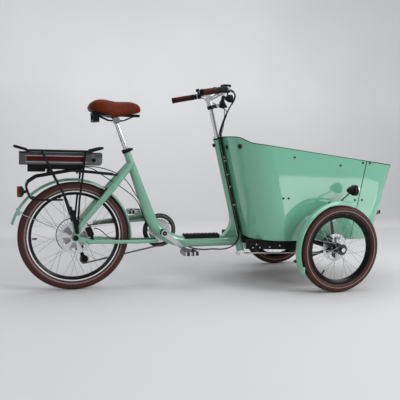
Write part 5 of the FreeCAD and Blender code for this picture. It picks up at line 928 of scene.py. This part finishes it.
def line_of(route):
    """Points along the route's smooth line, and its length."""
    points = [v.co.copy() for v in sampled(spline(route, 0.0)).vertices]
    length = sum((b - a).length for a, b in zip(points, points[1:]))
    return points, length


def make_cables(finish):
    points, length = line_of(BAR_CABLE_ROUTE)
    cable = add("bar_cable", sampled(spline(BAR_CABLE_ROUTE, CABLE_D / 2)), None, finish)
    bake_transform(cable)
    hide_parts("handlebar_cables")
    points, length = line_of(MAST_CABLE_ROUTE)
    cable = add("mast_cable", spline(MAST_CABLE_ROUTE, CABLE_D / 2), "frame", finish)
    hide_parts("frame_cables")


def make_thin_cables(finish):
    for name, (thick, upper, route) in THIN_CABLES.items():
        points, length = line_of(route)
        mesh = sampled(spline(route, thick / 2))
        cable = add(name, mesh, "frame" if upper == "frame" else None, finish)
        if upper != "frame":
            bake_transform(cable)


# Saddle cushion

def baked(piece):
    """The piece's mesh with its modifiers worked in."""
    graph = bpy.context.evaluated_depsgraph_get()
    mesh = bpy.data.meshes.new_from_object(piece.evaluated_get(graph))
    piece.modifiers.clear()
    return mesh


def puffed(piece):
    """Swells a closed pad by cloth pressure, held along its underside, by no more than a set distance."""
    group = piece.vertex_groups.new(name="held")
    held = [v.index for v in piece.data.vertices if v.normal.z < SADDLE_HELD_BELOW]
    group.add(held, 1.0, "REPLACE")
    before = [v.co.copy() for v in piece.data.vertices]
    cloth = piece.modifiers.new("cloth", "CLOTH")
    cloth.settings.use_pressure = True
    cloth.settings.uniform_pressure_force = SADDLE_PRESSURE
    cloth.settings.effector_weights.gravity = 0.0
    cloth.settings.vertex_group_mass = "held"
    for step in range(1, CLOTH_STEPS + 1):
        SCENE.frame_set(step)
    mesh = baked(piece)
    SCENE.frame_set(1)
    for vertex, rest in zip(mesh.vertices, before):
        move = vertex.co - rest
        if move.length > SADDLE_SWELL:
            vertex.co = rest + move * (SADDLE_SWELL / move.length)
    piece.data = mesh


def saddle_form():
    """Closed form of the saddle: crowned rear, dipped middle, raised nose and side skirts that hang lowest
    beside the dip."""
    rings = []
    for x, half, top, skirt in SADDLE_STATIONS:
        under = max(SADDLE_UNDER_Z, skirt + 0.001)
        right = [(0.60, under), (0.78, skirt * 0.6 + under * 0.4)]
        right += [(wide, skirt + (top - skirt) * tall) for wide, tall in SADDLE_SECTION]
        outline = [(0.0, under)] + right + [(0.0, top)] + [(-wide, z) for wide, z in right[::-1]]
        rings.append([place(x, half * wide, z) for wide, z in outline])
    return loft(rings)


def skirt_at(x):
    """Height of the skirt's lower edge at a place along the saddle."""
    x -= REAR_AXLE.x
    for first, second in zip(SADDLE_STATIONS, SADDLE_STATIONS[1:]):
        if x <= second[0]:
            share = max(0.0, (x - first[0]) / (second[0] - first[0]))
            return first[3] + (second[3] - first[3]) * share
    return SADDLE_STATIONS[-1][3]


def rim_points(piece):
    """Points round the pad's side, a set height above the skirt's edge."""
    points = []
    for out in all_round(AHEAD, TO_FAR, PIPING_POINTS):
        spot = SADDLE_MIDDLE + out * 0.1
        for _ in range(4):
            start = SADDLE_MIDDLE + out * 0.4
            start.z = skirt_at(spot.x) + PIPING_RISE
            hit, found, _, _ = piece.ray_cast(start, -out)
            spot = found if hit else spot
        points.append(spot)
    return points


def make_saddle():
    """Wide cushion with a soft channel along its middle and a piped lower seam."""
    saddle = add("saddle_cushion", saddle_form(), "seat", leather("saddle_leather", LEATHER))
    remesh = saddle.modifiers.new("remesh", "REMESH")
    remesh.mode = "VOXEL"
    remesh.voxel_size = SADDLE_VOXEL
    saddle.modifiers.new("smooth", "SMOOTH").iterations = 10
    saddle.data = baked(saddle)
    for vertex in saddle.data.vertices:
        vertex.co -= vertex.normal * SADDLE_SHRINK
    puffed(saddle)
    back = place(SADDLE_STATIONS[0][0], 0, 0).x
    nose = place(SADDLE_STATIONS[-1][0], 0, 0).x
    for vertex in saddle.data.vertices:
        along = min(1.0, max(0.0, (vertex.co.x - back) / (nose - back) / CHANNEL_SHARE))
        across = math.exp(-(vertex.co.y / CHANNEL_WIDTH) ** 2)
        if vertex.normal.z > CHANNEL_FACING:
            vertex.co.z -= CHANNEL_DEPTH * across * math.sin(math.pi * along)
    saddle.modifiers.new("smooth", "SMOOTH").iterations = 4
    saddle.data = smoothed(baked(saddle))
    bpy.context.view_layer.update()
    piping = tube(rim_points(saddle), PIPING_R, 8, True)
    saddle.modifiers.new("finer", "SUBSURF").levels = 1
    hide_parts("saddle")
    add("saddle_piping", piping, "seat", leather("seam_leather", darker(LEATHER, 0.45)))


# Battery, lamps and controls

def make_battery_trim():
    """Red stripes between bright edges, the lock with its key slot, vents, and the cap's seam."""
    low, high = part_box("battery")
    tall = high.z - low.z
    start, end = STRIPE_RUN
    stripes = []
    edges = []
    for face_y in (low.y, high.y):
        centre = Vector((low.x + (start + end) / 2, face_y, low.z + tall * STRIPE_MIDDLE))
        stripes.append(slab(centre, end - start, STRIPE_THICK, tall * STRIPE_TALL, STRIPE_ROUND))
        for step in (-1, 1):
            at = centre + UP * (step * tall * EDGE_OFFSET)
            edges.append(slab(at, end - start + EDGE_OVER, *EDGE_SECTION))
    add("battery_stripes", stripes, "battery", red_panel())
    add("battery_edges", edges, "battery", alloy())
    lock_at = Vector((high.x - LOCK_BACK, low.y, low.z + tall * LOCK_HEIGHT))
    lock = [turned(lock_at, TO_NEAR, LOCK_BARREL, 28), slab(lock_at + TO_NEAR * KEY_SLOT_OUT, *KEY_SLOT)]
    for k in range(VENTS):
        at = Vector((high.x - VENT_BACK - VENT_PITCH * k, low.y - VENT_OUT, low.z + tall * VENT_HEIGHT))
        lock.append(slab(at, VENT_WIDE, VENT_THICK, tall * VENT_TALL, FINE_ROUND))
    seam_at = Vector((BATTERY_CAP_X, 0, (low.z + high.z) / 2))
    lock.append(slab(seam_at, SEAM_WIDE, high.y - low.y + SEAM_OVER, tall - SEAM_SHORT, FINE_ROUND))
    add("battery_lock", lock, "battery", gloss_black())


def make_lamps():
    for name, body, at, glass, bezel, count in (
            ("fender_lamp", "knuckle_near", FENDER_LAMP_AT, FENDER_LENS, FENDER_BEZEL, 40),
            ("bar_lamp", "steering", BAR_LAMP_AT, BAR_LENS, BAR_BEZEL, 36)):
        add(name + "_lens", turned(at, AHEAD, glass, count), body, lens())
        add(name + "_bezel", turned(at, AHEAD, bezel, count, True), body, alloy())
    add("display_glass", slab(DISPLAY_AT, *DISPLAY), "steering", display_glass())
    keys = [slab(KEYS_AT + sideways(y), *DISPLAY_KEY) for y in KEYS_Y]
    add("display_keys", keys, "steering", black_plastic())


# Wheels

def make_wheel_details():
    """Valves, rear axle caps, the guard beside the sprockets, rotor bolts and the spider's plate."""
    black = rubber("valve_rubber")
    for body, centre, seat_r, degrees in VALVES:
        out = about_axle(degrees)
        add(body + "_valve", turned(centre + out * seat_r, -out, VALVE_STEM, 14), body, black)
    low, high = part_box("rear_axle")
    for name, out, end in (("near", TO_NEAR, low.y), ("far", TO_FAR, high.y)):
        start = Vector((REAR_AXLE.x, end, REAR_R)) - out * AXLE_CAP_SEAT
        add("axle_cap_" + name, turned(start, out, AXLE_CAP, 24), "frame", black)
    hub = Vector((REAR_AXLE.x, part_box("freewheel")[0].y - GUARD_GAP, REAR_R))
    hoop = [hub + about_axle(360 * k / HOOP_POINTS) * HOOP_R for k in range(HOOP_POINTS)]
    guard = [tube(hoop, HOOP_WIRE_R, 8, True)]
    for k in range(GUARD_ARMS):
        out = about_axle(360 * (k + GUARD_ARM_TURN) / GUARD_ARMS)
        guard.append(tube([hub + out * GUARD_ARM_IN_R, hub + out * HOOP_R], GUARD_ARM_WIRE_R, 8))
    add("spoke_guard", guard, "rear_wheel", black)
    bolts = []
    for k in range(ROTOR_BOLTS):
        out = about_axle(360 * (k + ROTOR_BOLT_TURN) / ROTOR_BOLTS)
        at = REAR_AXLE + out * ROTOR_BOLT_R + sideways(ROTOR_FACE_Y)
        bolts.append(turned(at, TO_NEAR, ROTOR_BOLT, 16))
    add("rotor_bolts", bolts, "rear_wheel", steel())
    ring_at = Vector((CRANK.x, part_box("chainring")[0].y, CRANK.z))
    add("spider_plate", turned(ring_at, TO_FAR, SPIDER_PLATE, 64, True), "crank", steel())


# Box and frame trim

def make_box_details():
    recesses = []
    for centre, size in islands("box_screws", SCREWS_APART):
        out = sideways(math.copysign(1, centre.y))
        recesses.append(turned(centre + out * (size.y / 2), out, SCREW_RECESS, 6))
    add("screw_recesses", recesses, "frame", black_paint())
    plugs = []
    for x, y, z, way_x, way_y in BOX_PLUGS:
        for side in SIDES.values():
            out = Vector((way_x, side * way_y, 0)).normalized()
            plugs.append(turned(on_side(side, x, y, z), out, BOX_PLUG, 20))
    add("box_plugs", plugs, "frame", gloss_black())
    hooks = []
    for side in SIDES.values():
        for offset, plate in HOOK_PLATES:
            hooks.append(slab(on_side(side, *HOOK_AT) + Vector(offset), *plate))
    add("box_hooks", hooks, "frame", gloss_black())


def make_frame_details():
    """Knob and cable clips on the mast, clips and tabs on the fenders, and brackets on their stays."""
    green = green_paint("frame_paint", FRAME_GREEN)
    knob = turned(MAST_KNOB_AT, MAST_BACK, MAST_KNOB, 24)
    add("mast_knob", knob, "frame", black_plastic())
    clip_at = FENDER_CENTRE + about_axle(FENDER_CLIP_ANGLE) * FENDER_CLIP_R
    clips = [slab(clip_at + sideways(side * FENDER_CLIP_OUT), *FENDER_CLIP) for side in SIDES.values()]
    add("fender_clips", clips, "frame", green)
    brackets = []
    for side in SIDES.values():
        brackets.append(tube([on_side(side, *spot) for spot in STAY_BRACKET], STAY_BRACKET_R, 10))
    add("stay_brackets", brackets, "frame", black_plastic())
    mast_line = line_of(MAST_CABLE_ROUTE)[0]
    bands = []
    for height in MAST_CLIPS_Z:
        spot = min(mast_line, key=lambda point: abs(point.z - height))
        bands.append(turned(spot, -MAST_UP, CLIP_BAND, 24, True))
        bands.append(turned(spot + CLIP_SCREW_AT, TO_NEAR, CLIP_SCREW, 14))
    add("mast_clips", bands, "frame", steel())
    for name, centre in (("near", FRONT_NEAR), ("far", FRONT_FAR)):
        out = sideways(SIDES[name])
        at = centre + about_axle(FENDER_TAB_ANGLE) * FENDER_TAB_R + out * FENDER_TAB_OUT
        tab = [slab(at, *FENDER_TAB), turned(at, out, TAB_RIVET, 14)]
        add("front_fender_tab_" + name, tab, "knuckle_" + name, green)


def make_bar_pods():
    """Clamp sleeves inside the brake levers: a bell button on the far one, a paddle on the near one."""
    for name, side in SIDES.items():
        tip = on_side(side, *BAR_TIP)
        inward = (on_side(side, *BAR_ELBOW) - tip).normalized()
        start = tip + inward * SLEEVE_START
        top = start + inward * SLEEVE_MIDDLE
        pod = [turned(start, inward, BAR_SLEEVE, 32)]
        if side == FAR:
            pod.append(turned(top, BUTTON_WAY, BELL_BUTTON, 28))
        else:
            pod.append(slab(top + PADDLE_OFFSET, *PADDLE))
        add("bar_pod_" + name, pod, "steering", black_plastic())


def make_stem_details():
    """Clamp band under the stem's joint, its bolt, and the dark bracket under the bar's clamp."""
    rings = []
    for y, share in BRACKET_SECTIONS:
        rings.append([BRACKET_MIDDLE.lerp(place(x, 0, z), share) + sideways(y) for x, z in BRACKET_OUTLINE])
    bracket = [turned(STEM_BAND_AT, MAST_UP, STEM_BAND, 36), slab(STEM_LUG_AT, *STEM_LUG), loft(rings)]
    add("stem_bracket", bracket, "steering", black_plastic())
    add("stem_bolt", turned(STEM_BOLT_AT, TO_NEAR, STEM_BOLT, 28), "steering", steel())


def make_rack_rims():
    """Rolled rims of the rack's two upturned ends."""
    rims = []
    for start, tip in RACK_ENDS:
        half = [(start + (tip - start) * share, out, z) for share, out, z in RACK_RIM]
        points = [on_side(NEAR, *spot) for spot in half] + [on_side(FAR, *spot) for spot in reversed(half)]
        rims.append(tube(points, RACK_RIM_R, 12))
    add("rack_rims", rims, "frame", black_plastic())


def make_under_rails():
    """Dark rails that spread from the mast's foot towards the axle under the box, with their bolt heads."""
    rails = []
    bolts = []
    level = (RAIL_LOW + RAIL_TOP) / 2
    tall = RAIL_TOP - RAIL_LOW
    for side in SIDES.values():
        rear = on_side(side, *RAIL_REAR, level)
        run = on_side(side, *RAIL_FRONT, level) - rear
        rail = slab(Vector((0, 0, 0)), run.length, RAIL_WIDTH, tall, RAIL_ROUND)
        rail.transform(Matrix.Translation(rear + run / 2) @ Matrix.Rotation(math.atan2(run.y, run.x), 4, "Z"))
        rails.append(rail)
        out = run.cross(UP * -side).normalized()
        for share, height in RAIL_BOLTS_AT:
            at = rear + run * share + out * (RAIL_WIDTH / 2)
            bolts.append(turned(Vector((at.x, at.y, height)), out, RAIL_BOLT, 16))
    add("under_rails", rails, "frame", black_paint())
    add("rail_bolts", bolts, "frame", steel())


def make_crank_caps():
    """Dust cap and bolt on the outer face of each crank's hub."""
    caps = []
    bolts = []
    for side in SIDES.values():
        face = Vector((CRANK.x, side * CRANK_FACE_OUT, CRANK.z))
        caps.append(turned(face, sideways(side), CRANK_CAP, 28))
        bolts.append(turned(face, sideways(side), CRANK_BOLT, 16))
    add("crank_caps", caps, "crank", black_plastic())
    add("crank_bolts", bolts, "crank", steel())


# Stage, light and camera

def make_stage():
    """Pale floor that curves up into a pale wall behind the object."""
    bend_y = WALL_Y - WALL_BEND
    profile = [(STAGE_FRONT_Y, 0.0), (bend_y, 0.0)]
    for step in range(1, WALL_STEPS + 1):
        angle = math.pi / 2 * step / WALL_STEPS
        profile.append((bend_y + WALL_BEND * math.sin(angle), WALL_BEND - WALL_BEND * math.cos(angle)))
    profile.append((WALL_Y, WALL_TOP))
    points = [(x, y, z) for y, z in profile for x in (-STAGE_REACH, STAGE_REACH)]
    faces = [(i, i + 1, i + 3, i + 2) for i in range(0, len(points) - 2, 2)]
    floor = add("studio", from_faces(points, faces), None, studio_floor())


def area_light(name, at, target, width, height, power):
    lamp = bpy.data.lights.new(name, "AREA")
    lamp.shape = "RECTANGLE"
    lamp.size = width
    lamp.size_y = height
    lamp.energy = power
    made = bpy.data.objects.new(name, lamp)
    made.location = at
    made.rotation_euler = (Vector(target) - Vector(at)).to_track_quat("-Z", "Y").to_euler()
    made.visible_camera = False
    SCENE.collection.objects.link(made)
    return made


def make_light():
    """Sky that is darker in front, four area lights, and a bright patch on the floor that faces up."""
    world = bpy.data.worlds.new("studio_air")
    SCENE.world = world
    world.use_nodes = True
    tree = world.node_tree
    sky = tree.nodes["Background"]
    sky.inputs["Color"].default_value = (*SKY, 1)
    way = tree.nodes.new("ShaderNodeSeparateXYZ")
    tree.links.new(tree.nodes.new("ShaderNodeTexCoord").outputs["Generated"], way.inputs[0])
    level = tree.nodes.new("ShaderNodeMapRange")
    tree.links.new(way.outputs["Y"], level.inputs["Value"])
    for name, number in SKY_LEVELS.items():
        level.inputs[name].default_value = number
    tree.links.new(level.outputs[0], sky.inputs["Strength"])
    for row in LIGHTS:
        area_light(*row)
    patch = area_light(*FLOOR_PATCH)
    patch.rotation_euler = FLOOR_PATCH_TURN


def make_camera():
    lens_data = bpy.data.cameras.new("photo_camera")
    lens_data.sensor_width = SENSOR_MM
    lens_data.lens = FOCAL_PX / IMAGE_PX * SENSOR_MM
    camera = bpy.data.objects.new("photo_camera", lens_data)
    yaw = Matrix.Rotation(CAMERA_YAW, 4, "Z")
    pitch = Matrix.Rotation(math.pi / 2 + CAMERA_PITCH, 4, "X")
    roll = Matrix.Rotation(CAMERA_ROLL, 4, "Z")
    camera.matrix_world = Matrix.Translation(CAMERA_AT) @ yaw @ pitch @ roll
    SCENE.collection.objects.link(camera)
    SCENE.camera = camera
    SCENE.view_settings.view_transform = "Standard"


def finish_nodes():
    """Gives every carried-over CAD node its finish."""
    table = {
        green_paint("box_paint", GREEN): "box_shell box_front front_fender_near front_fender_far",
        green_paint("frame_paint", FRAME_GREEN): "frame rear_fender chain_guard",
        black_paint(): "axle_frame rack seat_clamp seat_lever",
        black_plastic(): "saddle_base bar_controls battery_dock derailleur rear_caliper guide_pulley "
                         "tension_pulley brake_lever_near brake_lever_far bearing_cups fender_lamp",
        pedal(): "pedal_near pedal_far",
        rubber("step_rubber", STEP_RIB_PITCH): "step_pad",
        trim_edge(): "box_trim",
        dark_screw(): "box_screws",
        rear_hub(): "rear_hub",
        plywood(): "box_floor",
        tyre("front_tyre", FRONT_NEAR): "front_tyre_near front_tyre_far",
        tyre("rear_tyre", REAR_AXLE): "rear_tyre",
        front_rim(): "front_rim_near front_rim_far",
        rear_rim(): "rear_rim",
        steel(): "rear_spokes front_spokes_near front_spokes_far freewheel rear_axle fender_stays",
        chain_steel(): "chain",
        alloy(): "stem handlebar crankset drag_link tie_rod",
        front_hub(): "front_hub_near front_hub_far",
        knuckle(): "knuckle_near knuckle_far",
        chainring(): "chainring",
        chrome(): "seatpost steering_post",
        grip(): "grips",
        battery_case(): "battery",
        tail_lamp(): "tail_light"}
    for finish, names in table.items():
        for name in names.split():
            mesh = NODES[name].data
            mesh.materials.clear()
            mesh.materials.append(finish)


make_camera()
make_cables(rubber("cable_sleeve"))
make_thin_cables(rubber("cable_sleeve"))
make_light()
make_stage()
finish_nodes()
make_saddle()
make_battery_trim()
make_lamps()
make_wheel_details()
make_box_details()
make_frame_details()
make_bar_pods()
make_stem_details()
make_rack_rims()
make_under_rails()
make_crank_caps()
